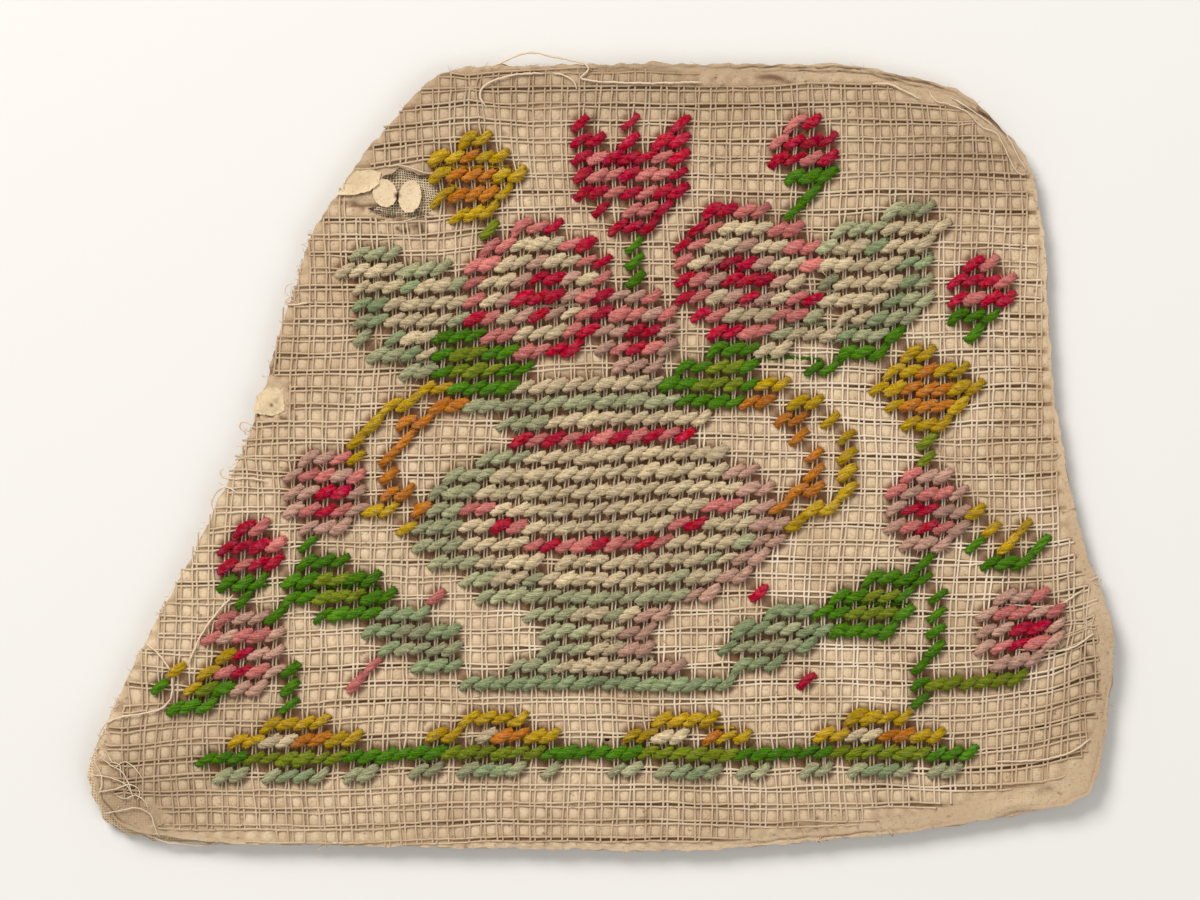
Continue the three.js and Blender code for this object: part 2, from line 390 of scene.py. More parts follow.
def yarn_tree():
    """Sweeps plied yarn along the edges of a mesh. Points carry girth, phase and whatever else is stored."""
    tree, given, result = new_tree(
        "plied_yarn", "GeometryNodeTree",
        [
            ("Paths", "Geometry"),
            ("Plies", "Int", 1),
            ("Ply Radius", "Float", 0.0002),
            ("Lay Radius", "Float", 0.0),
            ("Turns per Metre", "Float", 0.0),
            ("Sides", "Int", 5),
            ("Unevenness", "Float", 0.0),
            ("Finish", "Material"),
        ],
        [("Yarn", "Geometry")],
    )
    socket = given.outputs
    phase, girth = stored(tree, "phase"), stored(tree, "girth")

    # one copy of each path for each ply
    curve = put(tree, "GeometryNodeMeshToCurve", {"Mesh": socket["Paths"]}).outputs[0]
    length = put(tree, "GeometryNodeSplineParameter").outputs["Length"]
    along = store(tree, curve, "along", length)
    copies = put(tree, "GeometryNodeDuplicateElements",
                 {"Geometry": along, "Amount": socket["Plies"]}, domain="SPLINE").outputs
    share = maths(tree, "DIVIDE", copies["Duplicate Index"], socket["Plies"])
    ply = store(tree, copies["Geometry"], "ply", maths(tree, "ADD", share, phase))

    # each ply winds round the path
    turns = times(tree, stored(tree, "along"), socket["Turns per Metre"])
    turns = maths(tree, "ADD", maths(tree, "ADD", turns, share), phase)
    angle = times(tree, turns, 2 * math.pi)
    reach = times(tree, socket["Lay Radius"], girth)
    normal = put(tree, "GeometryNodeInputNormal").outputs[0]
    tangent = put(tree, "GeometryNodeInputTangent").outputs[0]
    across = put(tree, "ShaderNodeVectorMath", {0: tangent, 1: normal}, operation="CROSS_PRODUCT").outputs[0]
    beside = scaled(tree, normal, times(tree, maths(tree, "COSINE", angle), reach))
    above = scaled(tree, across, times(tree, maths(tree, "SINE", angle), reach))
    offset = moved(tree, beside, above)
    laid = put(tree, "GeometryNodeSetPosition", {"Geometry": ply, "Offset": offset}).outputs[0]

    # a round profile, which remembers which way each of its points faces, swept along the ply
    circle = put(tree, "GeometryNodeCurvePrimitiveCircle",
                 {"Resolution": socket["Sides"], "Radius": socket["Ply Radius"]}).outputs[0]
    rim = put(tree, "GeometryNodeInputPosition").outputs[0]
    outward = put(tree, "ShaderNodeVectorMath", {0: rim}, operation="NORMALIZE").outputs[0]
    profile = store(tree, circle, "around", outward, "FLOAT_VECTOR")
    swept = put(tree, "GeometryNodeCurveToMesh",
                {"Curve": laid, "Profile Curve": profile, "Scale": girth}).outputs[0]

    # small lumps
    lumps = maths(tree, "SUBTRACT", clouds(tree, rim, 2100.0, 1.0)[0], 0.5)
    amount = times(tree, lumps, times(tree, socket["Unevenness"], 2.0))
    push = scaled(tree, put(tree, "GeometryNodeInputNormal").outputs[0], amount)
    uneven = put(tree, "GeometryNodeSetPosition", {"Geometry": swept, "Offset": push}).outputs[0]
    rounded = put(tree, "GeometryNodeSetShadeSmooth", {"Geometry": uneven}).outputs[0]
    real = put(tree, "GeometryNodeRealizeInstances", {"Geometry": rounded}).outputs[0]
    finished = put(tree, "GeometryNodeSetMaterial", {"Geometry": real, "Material": socket["Finish"]})
    tree.links.new(finished.outputs[0], result.inputs[0])
    return tree


YARN = yarn_tree()


class Paths:
    """Collects yarn paths for one piece. Each brings its girth and phase, and what its finish reads."""

    def __init__(self):
        self.points, self.edges, self.values = [], [], {}
        self.count = 0

    def add(self, points, **values):
        number = len(points)
        self.points.append(np.asarray(points, float))
        self.edges += [(self.count + i, self.count + i + 1) for i in range(number - 1)]
        for name, value in values.items():
            self.values.setdefault(name, []).append(np.broadcast_to(np.asarray(value, float), (number,)))
        self.count += number

    def yarn(self, name, finish, radius, sides=5, plies=1, lay_radius=0.0, turn_length=None, unevenness=0.0):
        """Makes the piece: all the paths as yarn with a round or plied section, sizes in millimetres."""
        piece = mesh_piece(name, np.concatenate(self.points), edges=self.edges)
        give_values(piece, **{key: np.concatenate(numbers) for key, numbers in self.values.items()})
        turns = 1 / (turn_length * MM) if turn_length else 0.0
        return apply_tree(piece, YARN, Plies=plies, Ply_Radius=radius * MM, Lay_Radius=lay_radius * MM,
                          Turns_per_Metre=turns, Sides=sides, Unevenness=unevenness * MM, Finish=finish)


def fuzz_tree():
    """Adds short hairs that lean every way all over a woollen mesh. They keep the wool's own values."""
    tree, given, result = new_tree(
        "wool_fuzz", "GeometryNodeTree",
        [
            ("Wool", "Geometry"),
            ("Hairs per Square Metre", "Float", 3000000.0),
            ("Hair Length", "Float", 0.001),
            ("Hair Radius", "Float", 0.00004),
            ("Seed", "Int", 1),
            ("Finish", "Material"),
        ],
        [("Fuzzy Wool", "Geometry")],
    )
    socket = given.outputs

    # one hair of about unit length, which tapers to its tip
    line = put(tree, "GeometryNodeCurvePrimitiveBezierSegment", {
        "Resolution": 1, "Start": (0, 0, -0.1), "Start Handle": (0, 0, 0.35),
        "End Handle": (0.30, 0, 0.42), "End": (0.94, 0.12, 0.40)}).outputs[0]
    share = put(tree, "GeometryNodeSplineParameter").outputs["Factor"]
    taper = one_less(tree, times(tree, share, 0.97))
    thin = maths(tree, "DIVIDE", socket["Hair Radius"], socket["Hair Length"])
    profile = put(tree, "GeometryNodeCurvePrimitiveCircle", {"Resolution": 3, "Radius": thin}).outputs[0]
    hair = put(tree, "GeometryNodeCurveToMesh",
               {"Curve": line, "Profile Curve": profile, "Scale": taper}).outputs[0]

    # spread over the wool, each with its own lean and length
    spread = put(tree, "GeometryNodeDistributePointsOnFaces", {
        "Mesh": socket["Wool"], "Density": socket["Hairs per Square Metre"], "Seed": socket["Seed"]}).outputs
    index = put(tree, "GeometryNodeInputIndex").outputs[0]
    lean = put(tree, "FunctionNodeRandomValue", {
        0: (-0.5, -0.5, 0.0), 1: (0.5, 0.5, 2 * math.pi), "ID": index, "Seed": 7}, data_type="FLOAT_VECTOR")
    turn = put(tree, "FunctionNodeEulerToRotation", {0: lean.outputs[0]}).outputs[0]
    turned = put(tree, "FunctionNodeRotateRotation",
                 {"Rotation": spread["Rotation"], "Rotate By": turn}, rotation_space="LOCAL").outputs[0]
    size = put(tree, "FunctionNodeRandomValue", {2: 0.5, 3: 1.5, "ID": index, "Seed": 11}, data_type="FLOAT")
    length = times(tree, size.outputs[1], socket["Hair Length"])
    hairs = put(tree, "GeometryNodeInstanceOnPoints", {
        "Points": spread["Points"], "Instance": hair, "Rotation": turned, "Scale": length}).outputs[0]
    both = put(tree, "GeometryNodeJoinGeometry", {0: hairs})
    tree.links.new(socket["Wool"], both.inputs[0])
    rounded = put(tree, "GeometryNodeSetShadeSmooth", {"Geometry": both.outputs[0]}).outputs[0]
    real = put(tree, "GeometryNodeRealizeInstances", {"Geometry": rounded}).outputs[0]
    finished = put(tree, "GeometryNodeSetMaterial", {"Geometry": real, "Material": socket["Finish"]})
    tree.links.new(finished.outputs[0], result.inputs[0])
    return tree


FUZZ = fuzz_tree()


# ---------------------------------------------------------------- shading groups
def group(tree, which, inputs):
    """The outputs of a shading group placed in a material or in another group."""
    return put(tree, "ShaderNodeGroup", inputs, node_tree=which).outputs


def stain_group():
    """Broad stains, small blotches and specks over the whole piece, on its own coordinates."""
    tree, given, result = new_tree(
        "age_stains", "ShaderNodeTree",
        [("Place", "Vector")], [("Broad", "Float"), ("Blotch", "Float"), ("Speck", "Float")])
    kinds = (
        # output, waves to the metre, detail, roughness, and the noise at which it starts and is full
        ("Broad", 22.0, 3.0, 0.55, 0.42, 0.68),
        ("Blotch", 150.0, 4.0, 0.6, 0.50, 0.72),
        ("Speck", 900.0, 2.0, 0.5, 0.66, 0.74),
    )
    for output, waves, detail, roughness, empty, full in kinds:
        value = clouds(tree, given.outputs[0], waves, detail, roughness)[0]
        tree.links.new(eased(tree, value, empty, full), result.inputs[output])
    return tree


def fibre_group():
    """Fine fibres that run along a yarn: light and dark streaks, and their height."""
    tree, given, result = new_tree(
        "yarn_fibres", "ShaderNodeTree",
        [("Along", "Float", 0.0), ("Around", "Vector"), ("Ply", "Float", 0.0),
         ("Fibre Length", "Float", 0.002), ("Fibres Around", "Float", 4.0)],
        [("Streak", "Float"), ("Height", "Float")])
    socket = given.outputs
    along = maths(tree, "DIVIDE", socket["Along"], socket["Fibre Length"])
    along = maths(tree, "ADD", along, times(tree, socket["Ply"], 37.0))
    upright = put(tree, "ShaderNodeCombineXYZ", {"Z": along}).outputs[0]
    place = moved(tree, scaled(tree, socket["Around"], socket["Fibres Around"]), upright)
    streak = clouds(tree, place, 1.6, 3.0, 0.65)[0]
    tree.links.new(eased(tree, streak, 0.35, 0.65), result.inputs["Streak"])
    tree.links.new(streak, result.inputs["Height"])
    return tree


def weave_group():
    """From a place counted in thread pairs: how near it is to an upright pair, a cross pair and a hole."""
    tree, given, result = new_tree(
        "weave_masks", "ShaderNodeTree",
        [("Weave", "Vector"), ("Half Groove U", "Float", PAIR_HALF_U),
         ("Half Groove V", "Float", PAIR_HALF_V)],
        [("Upright Groove", "Float"), ("Cross Groove", "Float"), ("Hole", "Float")])
    socket = given.outputs
    parts = put(tree, "ShaderNodeSeparateXYZ", {0: socket["Weave"]}).outputs
    near = []
    for axis, groove, output in ((0, "Half Groove U", "Upright Groove"),
                                 (1, "Half Groove V", "Cross Groove")):
        share = maths(tree, "FRACT", maths(tree, "ADD", parts[axis], 0.5))
        near.append(maths(tree, "ABSOLUTE", maths(tree, "SUBTRACT", share, 0.5)))
        edge = maths(tree, "DIVIDE", near[axis], socket[groove])
        tree.links.new(eased(tree, edge, 1.15, 0.55), result.inputs[output])
    tree.links.new(eased(tree, times(tree, *near), 0.045, 0.17), result.inputs["Hole"])
    return tree


def gauze_group():
    """From a place on the piece: how near it is to a thread of the fine gauze, which lies a bit crooked."""
    tree, given, result = new_tree(
        "gauze_threads", "ShaderNodeTree", [("Place", "Vector")], [("Threads", "Float")])
    place = given.outputs[0]
    bend = scaled(tree, clouds(tree, place, 90.0, 1.0)["Color"], 5.0)
    bent = moved(tree, scaled(tree, place, 1 / (GAUZE_PITCH * MM)), bend)
    masks = group(tree, WEAVE, {"Weave": bent, "Half Groove U": 0.34, "Half Groove V": 0.34})
    threads = maths(tree, "MAXIMUM", masks["Upright Groove"], masks["Cross Groove"])
    tree.links.new(threads, result.inputs[0])
    return tree


STAINS = stain_group()
FIBRES = fibre_group()
WEAVE = weave_group()
GAUZE_THREADS = gauze_group()


# ---------------------------------------------------------------- finishes
def attribute(tree, name, output="Fac"):
    return put(tree, "ShaderNodeAttribute", attribute_name=name).outputs[output]


def blend_colour(tree, share, low, high):
    """The colour low, moving to high as share goes from 0 to 1. Each may be a socket or a value."""
    return put(tree, "ShaderNodeMix", {0: share, 6: low, 7: high}, data_type="RGBA").outputs[2]


def marked(tree, colour, marks):
    """Lays marks over a colour, one on another. Each is its mask, its strength and its own colour."""
    for mask, strength, tint in marks:
        share = mask if strength == 1 else times(tree, mask, strength)
        colour = blend_colour(tree, share, colour, tint)
    return colour


def new_material(name, roughness, specular, sheen=0.0, sheen_tint=(1.0, 1.0, 1.0, 1.0)):
    """A new material, its tree, its Principled shader and the Object coordinates."""
    material = bpy.data.materials.new(name)
    material.use_nodes = True
    tree = material.node_tree
    shader = tree.nodes["Principled BSDF"]
    values = {"Roughness": roughness, "Specular IOR Level": specular, "Sheen Weight": sheen,
              "Sheen Roughness": 0.5, "Sheen Tint": sheen_tint}
    for socket, value in values.items():
        shader.inputs[socket].default_value = value
    place = put(tree, "ShaderNodeTexCoord").outputs["Object"]
    return material, tree, shader, place


def finish_with(tree, shader, colour, height, distance, strength):
    """Gives the shader its colour and a fine roughness of the surface."""
    bump = put(tree, "ShaderNodeBump", {"Height": height, "Distance": distance, "Strength": strength})
    tree.links.new(bump.outputs[0], shader.inputs["Normal"])
    tree.links.new(colour, shader.inputs["Base Color"])


def yarn_fibres(tree, length, around):
    """The fibres of a yarn, on what its sweep has stored."""
    return group(tree, FIBRES, {
        "Along": attribute(tree, "along"), "Around": attribute(tree, "around", "Vector"),
        "Ply": attribute(tree, "ply"), "Fibre Length": length, "Fibres Around": around})


def wool_finish(name, light, painted_shade):
    """Soft wool: fine fibres with flecks of neighbouring hues, each stitch a little lighter or darker. Its
    fibre streaks, partly the fibres' own tone and partly painted shade between them, run from its colour to
    its painted shade.
    """
    material, tree, shader, place = new_material(name, 1.0, 0.04, sheen=0.35, sheen_tint=light)
    fibres = yarn_fibres(tree, 0.0026, 2.7)
    fine = clouds(tree, place, 3000.0, 2.0)[0]
    share = maths(tree, "ADD", times(tree, fibres["Streak"], 0.70), times(tree, fine, 0.52), clamp=True)
    fleck = put(tree, "ShaderNodeSeparateColor", {0: clouds(tree, place, 1100.0, 3.0, 0.7)["Color"]}).outputs
    tint = times(tree, attribute(tree, "tint"), 0.16)
    colour = put(tree, "ShaderNodeHueSaturation", {
        "Hue": between(tree, fleck[0], 0.475, 0.525),
        "Saturation": between(tree, fleck[1], 0.75, 1.2),
        "Value": maths(tree, "ADD", between(tree, fleck[2], 0.82, 1.18), tint),
        "Color": blend_colour(tree, share, painted_shade, light)}).outputs[0]
    # painted shade at the roots, where a stitch dives into its hole
    colour = marked(tree, colour, [(attribute(tree, "root"), 0.42, painted_shade)])
    rough = maths(tree, "ADD", fibres["Height"], times(tree, fine, 0.7))
    finish_with(tree, shader, colour, rough, 0.00030, 1.0)
    return material


def thread_finish(name, light, shade, clean):
    """Linen thread: light on its crowns, darker with dirt, and whiter where it was kept clean."""
    material, tree, shader, place = new_material(name, 0.85, 0.15, sheen=0.12, sheen_tint=light)
    fibres = yarn_fibres(tree, 0.0007, 1.6)
    stains = group(tree, STAINS, {"Place": place})
    dirty = maths(tree, "ADD", times(tree, stains["Broad"], 0.45), times(tree, stains["Blotch"], 0.45),
                  clamp=True)
    colour = marked(tree, blend_colour(tree, fibres["Streak"], shade, light), (
        (attribute(tree, "dull"), 0.60, srgb(168, 140, 108)),
        (dirty, 1, shade),
        (attribute(tree, "clean"), 1, clean),
        (attribute(tree, "grime"), GRIME_STRENGTH, GRIME_TINT),
        (stains["Speck"], 0.5, srgb(120, 92, 62)),
        # stains, and painted shade in the slits of the tear
        (attribute(tree, "spot"), 1, srgb(96, 70, 48)),
    ))
    finish_with(tree, shader, colour, fibres["Height"], 0.00005, 0.8)
    return material


def paper_finish(name, light, shade, gap, dark):
    """Pasted paper: pale in the holes, with painted shade and dirt at their rims, a brown painted shadow with
    some dirt between the threads of a cross pair, lighter painted shade between those of an upright pair, and
    dark painted shade under the wool.
    """
    material, tree, shader, place = new_material(name, 0.9, 0.15)
    weave = group(tree, WEAVE, {"Weave": attribute(tree, "weave", "Vector")})
    stains = group(tree, STAINS, {"Place": place})
    gauze = group(tree, GAUZE_THREADS, {"Place": place})["Threads"]
    covered = attribute(tree, "covered")
    grain = clouds(tree, place, 1500.0, 4.0, 0.6)[0]
    mottled = eased(tree, clouds(tree, place, 2400.0, 3.0, 0.7)[0], 0.52, 0.74)
    # painted shade and dirt round the rim of each open hole
    hole_rim_shade_and_dirt = times(tree, one_less(tree, weave["Hole"]), covered)
    # painted shadow, with some dirt, in the gap between the two threads of a cross pair
    cross_gap_shadow_and_dirt = times(tree, weave["Cross Groove"], attribute(tree, "dash"))
    # painted shade between the two threads of an upright pair
    upright_gap_shade = times(tree, weave["Upright Groove"], covered)
    gauze_holes = times(tree, one_less(tree, gauze), attribute(tree, "gauzy"))
    bare = times(tree, one_less(tree, covered), clouds(tree, place, 70.0, 2.0)[0])
    # painted shade under the wool, in the colour given as dark, weaker along the upright pairs
    wool_gap = one_less(tree, times(tree, weave["Upright Groove"], 0.65))
    wool_shade_mask = times(tree, attribute(tree, "worked"), wool_gap)
    colour = marked(tree, blend_colour(tree, grain, shade, light), (
        (mottled, 0.42, srgb(158, 130, 98)),
        (attribute(tree, "dull"), 0.34, srgb(170, 140, 110)),
        (hole_rim_shade_and_dirt, 0.50, srgb(176, 149, 116)),
        (cross_gap_shadow_and_dirt, 1, gap),
        (upright_gap_shade, 0.20, srgb(172, 142, 116)),
        (gauze_holes, 0.55, srgb(160, 132, 100)),
        (stains["Broad"], 0.28, srgb(150, 118, 84)),
        (stains["Blotch"], 0.30, srgb(160, 128, 92)),
        (stains["Speck"], 0.55, srgb(92, 66, 42)),
        (bare, 0.55, srgb(172, 143, 113)),
        (attribute(tree, "grime"), GRIME_STRENGTH, GRIME_TINT),
        # painted shade in the troughs of the creases
        (attribute(tree, "crease_shade"), 1, srgb(112, 86, 64)),
        # stains, and painted shade in the slits of the tear
        (attribute(tree, "spot"), 1, srgb(78, 56, 38)),
        (wool_shade_mask, 1, dark),
    ))
    rough = maths(tree, "SUBTRACT", grain, maths(tree, "ADD", gauze_holes, mottled))
    finish_with(tree, shader, colour, rough, 0.00006, 0.8)
    return material


def gauze_finish(name, light, gap):
    """Open gauze with paste in its holes, both faces alike."""
    material, tree, shader, place = new_material(name, 0.92, 0.12)
    threads = group(tree, GAUZE_THREADS, {"Place": place})["Threads"]
    stains = group(tree, STAINS, {"Place": place})
    colour = marked(tree, blend_colour(tree, threads, gap, light), (
        (stains["Broad"], 0.4, srgb(150, 120, 86)),
        (stains["Blotch"], 0.35, srgb(128, 98, 66)),
        (attribute(tree, "shaded"), 1, srgb(182, 158, 126)),
    ))
    finish_with(tree, shader, colour, threads, 0.00010, 0.8)
    return material


FINISHES = {
    "canvas": thread_finish("canvas_thread", light=srgb(218, 195, 163), shade=srgb(184, 158, 127),
                            clean=srgb(240, 224, 200)),
    "gauze_thread": thread_finish("gauze_thread", light=srgb(218, 198, 166), shade=srgb(184, 160, 128),
                                  clean=srgb(226, 208, 178)),
    # the paper's gap colour is the painted shadow between the threads of a cross pair, its last colour the
    # painted shade under the wool
    "paper": paper_finish("pasted_paper", light=srgb(224, 201, 168), shade=srgb(206, 182, 149),
                          gap=srgb(120, 90, 60), dark=srgb(150, 110, 82)),
    "wafer": paper_finish("wafer_paper", light=srgb(242, 222, 184), shade=srgb(228, 206, 168),
                          gap=srgb(122, 94, 68), dark=srgb(84, 63, 46)),
    "gauze": gauze_finish("pasted_gauze", light=srgb(212, 188, 152), gap=srgb(156, 128, 96)),
}
for letter, (piece_name, _, light, painted_shade) in WOOLS.items():
    FINISHES[letter] = wool_finish(piece_name, light, painted_shade)


# ---------------------------------------------------------------- the picture, charted stitch by stitch
CHARTS = {
    "rose": """
        ...pprr..
        .pptttpr.
        ppttlttpr
        pttlrrltp
        ptlrrrlpr
        rptlrltpr
        .pptttpr.
        ...pprr..""",
    "tulip": """
        r..r..r
        rr.r.rr
        rprrrpr
        rpprppr
        rrprprr
        .rpppr.
        ..rrr..""",
    "bud": """
        .pr.
        prrr
        rrpr
        .ggg
        ..g.""",
    "star": """
        ..yy...
        .yyayy.
        yyaaayy
        .yaaay.
        ..yyy..""",
    "frond": """
        ........sss.
        .....ssstttt
        ...ssttmttt.
        ..sstttttmm.
        .sttsttttms.
        sttsttttmss.
        sttstttmss..
        .stttmss....
        tt..........""",
    "leaf": """
        ...ggg
        .ggoog
        ggooog
        .gggg.""",
    "plume": """
        ...mmm.
        .mmssmm
        mssssm.
        .mmm...""",
    "daisy": """
        .llp.
        lpplp
        llrrl
        lprpl
        .lll.""",
    "sprig": """
        y...y
        .y.y.
        g.y.g
        .ggg.""",
}

# chart, column of its left edge, row of its top, mirrored or not
PLACED = (
    ("frond", -16, 12, True),
    ("frond", 10, 14, False),
    ("leaf", -10, 7, True),
    ("leaf", 4, 6, False),
    ("daisy", 0, 9, False),
    ("rose", -8, 13, False),
    ("rose", 5, 14, True),
    ("tulip", -1, 19, False),
    ("star", -11, 18, True),
    ("star", 17, 6, False),
    ("bud", 11, 19, False),
    ("bud", 22, 11, True),
    ("bud", -23, -4, True),
    ("daisy", -19, 0, False),
    ("daisy", -24, -9, True),
    ("daisy", 18, -1, True),
    ("daisy", 24, -8, False),
    ("leaf", -18, -6, True),
    ("leaf", 14, -7, False),
    ("plume", -14, -9, True),
    ("plume", 8, -9, False),
    ("sprig", -27, -11, False),
    ("sprig", 23, -3, False),
)

# the row of the urn's lip, and half its width in stitches from there down to its foot
URN_TOP = 4
URN_HALVES = (9, 8, 6, 5, 7, 9, 10, 11, 11, 11, 10, 9, 7, 4, 3, 3, 5, 8)

# letter, then the corners that a line of stitches follows, as columns and rows
LINES = (
    ("g", (2, 12), (2, 8)),
    ("o", (-7, 13), (-5, 11)),
    ("g", (12, 14), (11, 12)),
    ("g", (13, 5), (16, 6), (18, 7)),
    ("o", (20, 2), (20, -1)),
    ("y", (-9, 4), (-13, 3), (-15, 1), (-15, -2), (-12, -4)),
    ("a", (-9, 3), (-12, 2), (-13, 0), (-13, -2), (-11, -3)),
    ("y", (9, 4), (13, 3), (15, 1), (15, -2), (12, -4)),
    ("a", (9, 3), (12, 2), (13, 0), (13, -2), (11, -3)),
    ("g", (-19, -14), (-20, -9), (-17, -4)),
    ("o", (-21, -13), (-24, -13)),
    ("g", (20, -14), (21, -9), (20, -5)),
    ("o", (21, -13), (26, -13)),
    ("p", (-10, -8), (-15, -13)),
    ("r", (10, -8), (13, -13)),
)

# one repeat of the border, and the column and row it starts from
BORDER = """
    ....yyyy....
    ..yyttaayy..
    gggooooooggg
    .ss.smms.ss."""
BORDER_LEFT = -24
BORDER_WIDTH = 12
BORDER_REPEATS = 4
BORDER_TOP = -15


def stitch_line(worked, letter, corners):
    """Works a line of stitches from corner to corner."""
    for (u0, v0), (u1, v1) in zip(corners, corners[1:]):
        steps = max(abs(u1 - u0), abs(v1 - v0))
        for step in range(steps + 1):
            worked[(round(u0 + (u1 - u0) * step / steps), round(v0 + (v1 - v0) * step / steps))] = letter


def stitch_chart(worked, chart, left, top, mirrored=False):
    """Works a small chart with its upper left corner at a column and row."""
    for down, line in enumerate(chart.split()):
        for across, letter in enumerate(reversed(line) if mirrored else line):
            if letter != ".":
                worked[(left + across, top - down)] = letter


def urn_letter(column, row, half):
    """Which wool fills the urn at a column counted from its middle and a row counted from its lip."""
    if row == 3:
        return "r" if column % 2 else "p"
    swag = 6 + round(3.2 * (1 - (column / 9) ** 2))
    if row == swag and abs(column) < 9:
        return "p" if column % 3 else "r"
    if row == len(URN_HALVES) - 1:
        return "m"
    if column < 3 - half:
        return "s"
    if column > half - 2 and row > 4:
        return "l"
    if row in (1, 12) or (row > swag + 1 and (column + 2 * row) % 9 == 0):
        return "s"
    return "t"


def chart_picture():
    """The whole picture as {(column, row): letter}: a footed urn of flowers over a scalloped border."""
    worked = {}
    for down, half in enumerate(URN_HALVES):
        for column in range(-half, half + 1):
            worked[(column, URN_TOP - down)] = urn_letter(column, down, half)
    for repeat in range(BORDER_REPEATS):
        stitch_chart(worked, BORDER, BORDER_LEFT + repeat * BORDER_WIDTH, BORDER_TOP)
    for letter, *corners in LINES:
        stitch_line(worked, letter, corners)
    for name, left, top, mirrored in PLACED:
        stitch_chart(worked, CHARTS[name], left, top, mirrored)
    return worked


# ---------------------------------------------------------------- chance, and places on the canvas
CHANCE = np.random.default_rng(41)
LOST_STITCHES = 0.02   # the share of the stitches that have worn away

CANVAS_TEAR = ((-39.0, 40.6), (-36.2, 44.0), (-31.6, 44.3), (-26.4, 43.0),
               (-25.9, 39.6), (-27.8, 37.2), (-32.8, 37.0), (-37.4, 38.2))
PAPER_TEAR = ((-33.6, 43.4), (-30.8, 44.5), (-27.4, 43.6), (-24.6, 42.4), (-24.4, 39.6), (-26.6, 37.4),
              (-28.6, 36.9), (-30.4, 37.1), (-32.4, 36.8), (-34.4, 37.5), (-35.9, 38.4), (-32.6, 39.4))
BARE_CORNER = ((-80.0, -53.0), (-74.8, -53.2), (-70.6, -54.0), (-68.6, -56.2), (-68.2, -60.0), (-74.0, -63.0))
WORN_PLACE = ((-53.4, 9.8), (-51.0, 11.4), (-48.6, 10.9), (-48.3, 7.0), (-50.4, 6.0), (-53.8, 6.6))
# x, y and radius
PIN_HOLES = ((1.1, -43.5, 0.45), (68.0, -41.6, 0.66))


def in_corners(x, y, corners, margin=0.0):
    """Whether x, y lies inside corners given clockwise, or within the margin of them."""
    inside = np.ones(np.broadcast(x, y).shape, bool)
    for (x0, y0), (x1, y1) in zip(corners, corners[1:] + corners[:1]):
        length = math.hypot(x1 - x0, y1 - y0)
        inside &= ((x1 - x0) * (y - y0) - (y1 - y0) * (x - x0)) / length < margin
    return inside


def sway(seed, t, *wavelengths):
    """A smooth wander between about -1 and 1, the same for the same seed."""
    phases = np.random.default_rng(seed).random(len(wavelengths)) * 2 * math.pi
    waves = (np.sin(2 * math.pi * t / length + phase) for length, phase in zip(wavelengths, phases))
    return sum(waves) / math.sqrt(len(wavelengths))


def in_cell(grid, i, j, a, b):
    """A grid's value in the cell that starts at place i, j, at shares a and b of the way across it."""
    return ((grid[i, j] * (1 - a) + grid[i + 1, j] * a) * (1 - b)
            + (grid[i, j + 1] * (1 - a) + grid[i + 1, j + 1] * a) * b)


class Field:
    """A solid's underside as a smooth height over the whole piece, carried on past its edge."""

    STEP = 1.5
    PAST_EDGE = 6
    JUST_INSIDE = 0.985   # share of the way to the rim at which the heights past it are read

    def __init__(self, guide):
        low, high = guide.points.min(axis=0), guide.points.max(axis=0)
        self.left, self.bottom = low[0] - self.PAST_EDGE, low[1] - self.PAST_EDGE
        self.across = int((high[0] - low[0] + 2 * self.PAST_EDGE) / self.STEP) + 1
        self.up = int((high[1] - low[1] + 2 * self.PAST_EDGE) / self.STEP) + 1
        x = self.left + np.arange(self.across) * self.STEP
        y = self.bottom + np.arange(self.up) * self.STEP
        x, y = [a.ravel() for a in np.meshgrid(x, y, indexing="ij")]
        radius = np.hypot(x, y) + 1e-9
        pull = np.minimum(1.0, guide.reach(x, y) * self.JUST_INSIDE / radius)
        heights, there = guide.heights(x * pull, y * pull)
        heights[~there] = np.median(heights[there])
        self.grid = heights.reshape(self.across, self.up)

    def __call__(self, x, y):
        """The height at each x, y."""
        column = np.clip((np.asarray(x) - self.left) / self.STEP, 0, self.across - 1.001)
        row = np.clip((np.asarray(y) - self.bottom) / self.STEP, 0, self.up - 1.001)
        i, j = column.astype(int), row.astype(int)
        return in_cell(self.grid, i, j, column - i, row - j)


UNDER_PAPER = Field(PAPER)
UNDER_GAUZE = Field(GAUZE)
CANVAS_STEP = (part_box("canvas")[0].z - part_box("paper_backing")[0].z) / MM


def ground(x, y):
    """The height of the canvas solid's underside, from which threads and wool are measured."""
    return UNDER_PAPER(x, y) + CANVAS_STEP


def unlay(x, y):
    """The grid place, in columns and rows, that lies at x, y."""
    u, v = np.asarray(x, float) / COLUMN, np.asarray(y, float) / ROW
    for _ in range(8):
        at_x, at_y = lay(u, v)
        u, v = u + (x - at_x) / COLUMN, v + (y - at_y) / ROW
    return u, v


def lost(column, row):
    """Whether a stitch has worn away, or falls off the canvas or into its tear."""
    x, y = lay(column, row)
    worn_away = CHANCE.random() < LOST_STITCHES
    return bool(worn_away or not CANVAS.inside(x, y, 5.0) or in_corners(x, y, CANVAS_TEAR, 1.5))


PICTURE = {place: letter for place, letter in chart_picture().items() if not lost(*place)}
WORKED_GRID = np.zeros((2 * COLUMNS + 1, 2 * ROWS + 1))
for column, row in PICTURE:
    WORKED_GRID[column + COLUMNS, row + ROWS] = 1.0


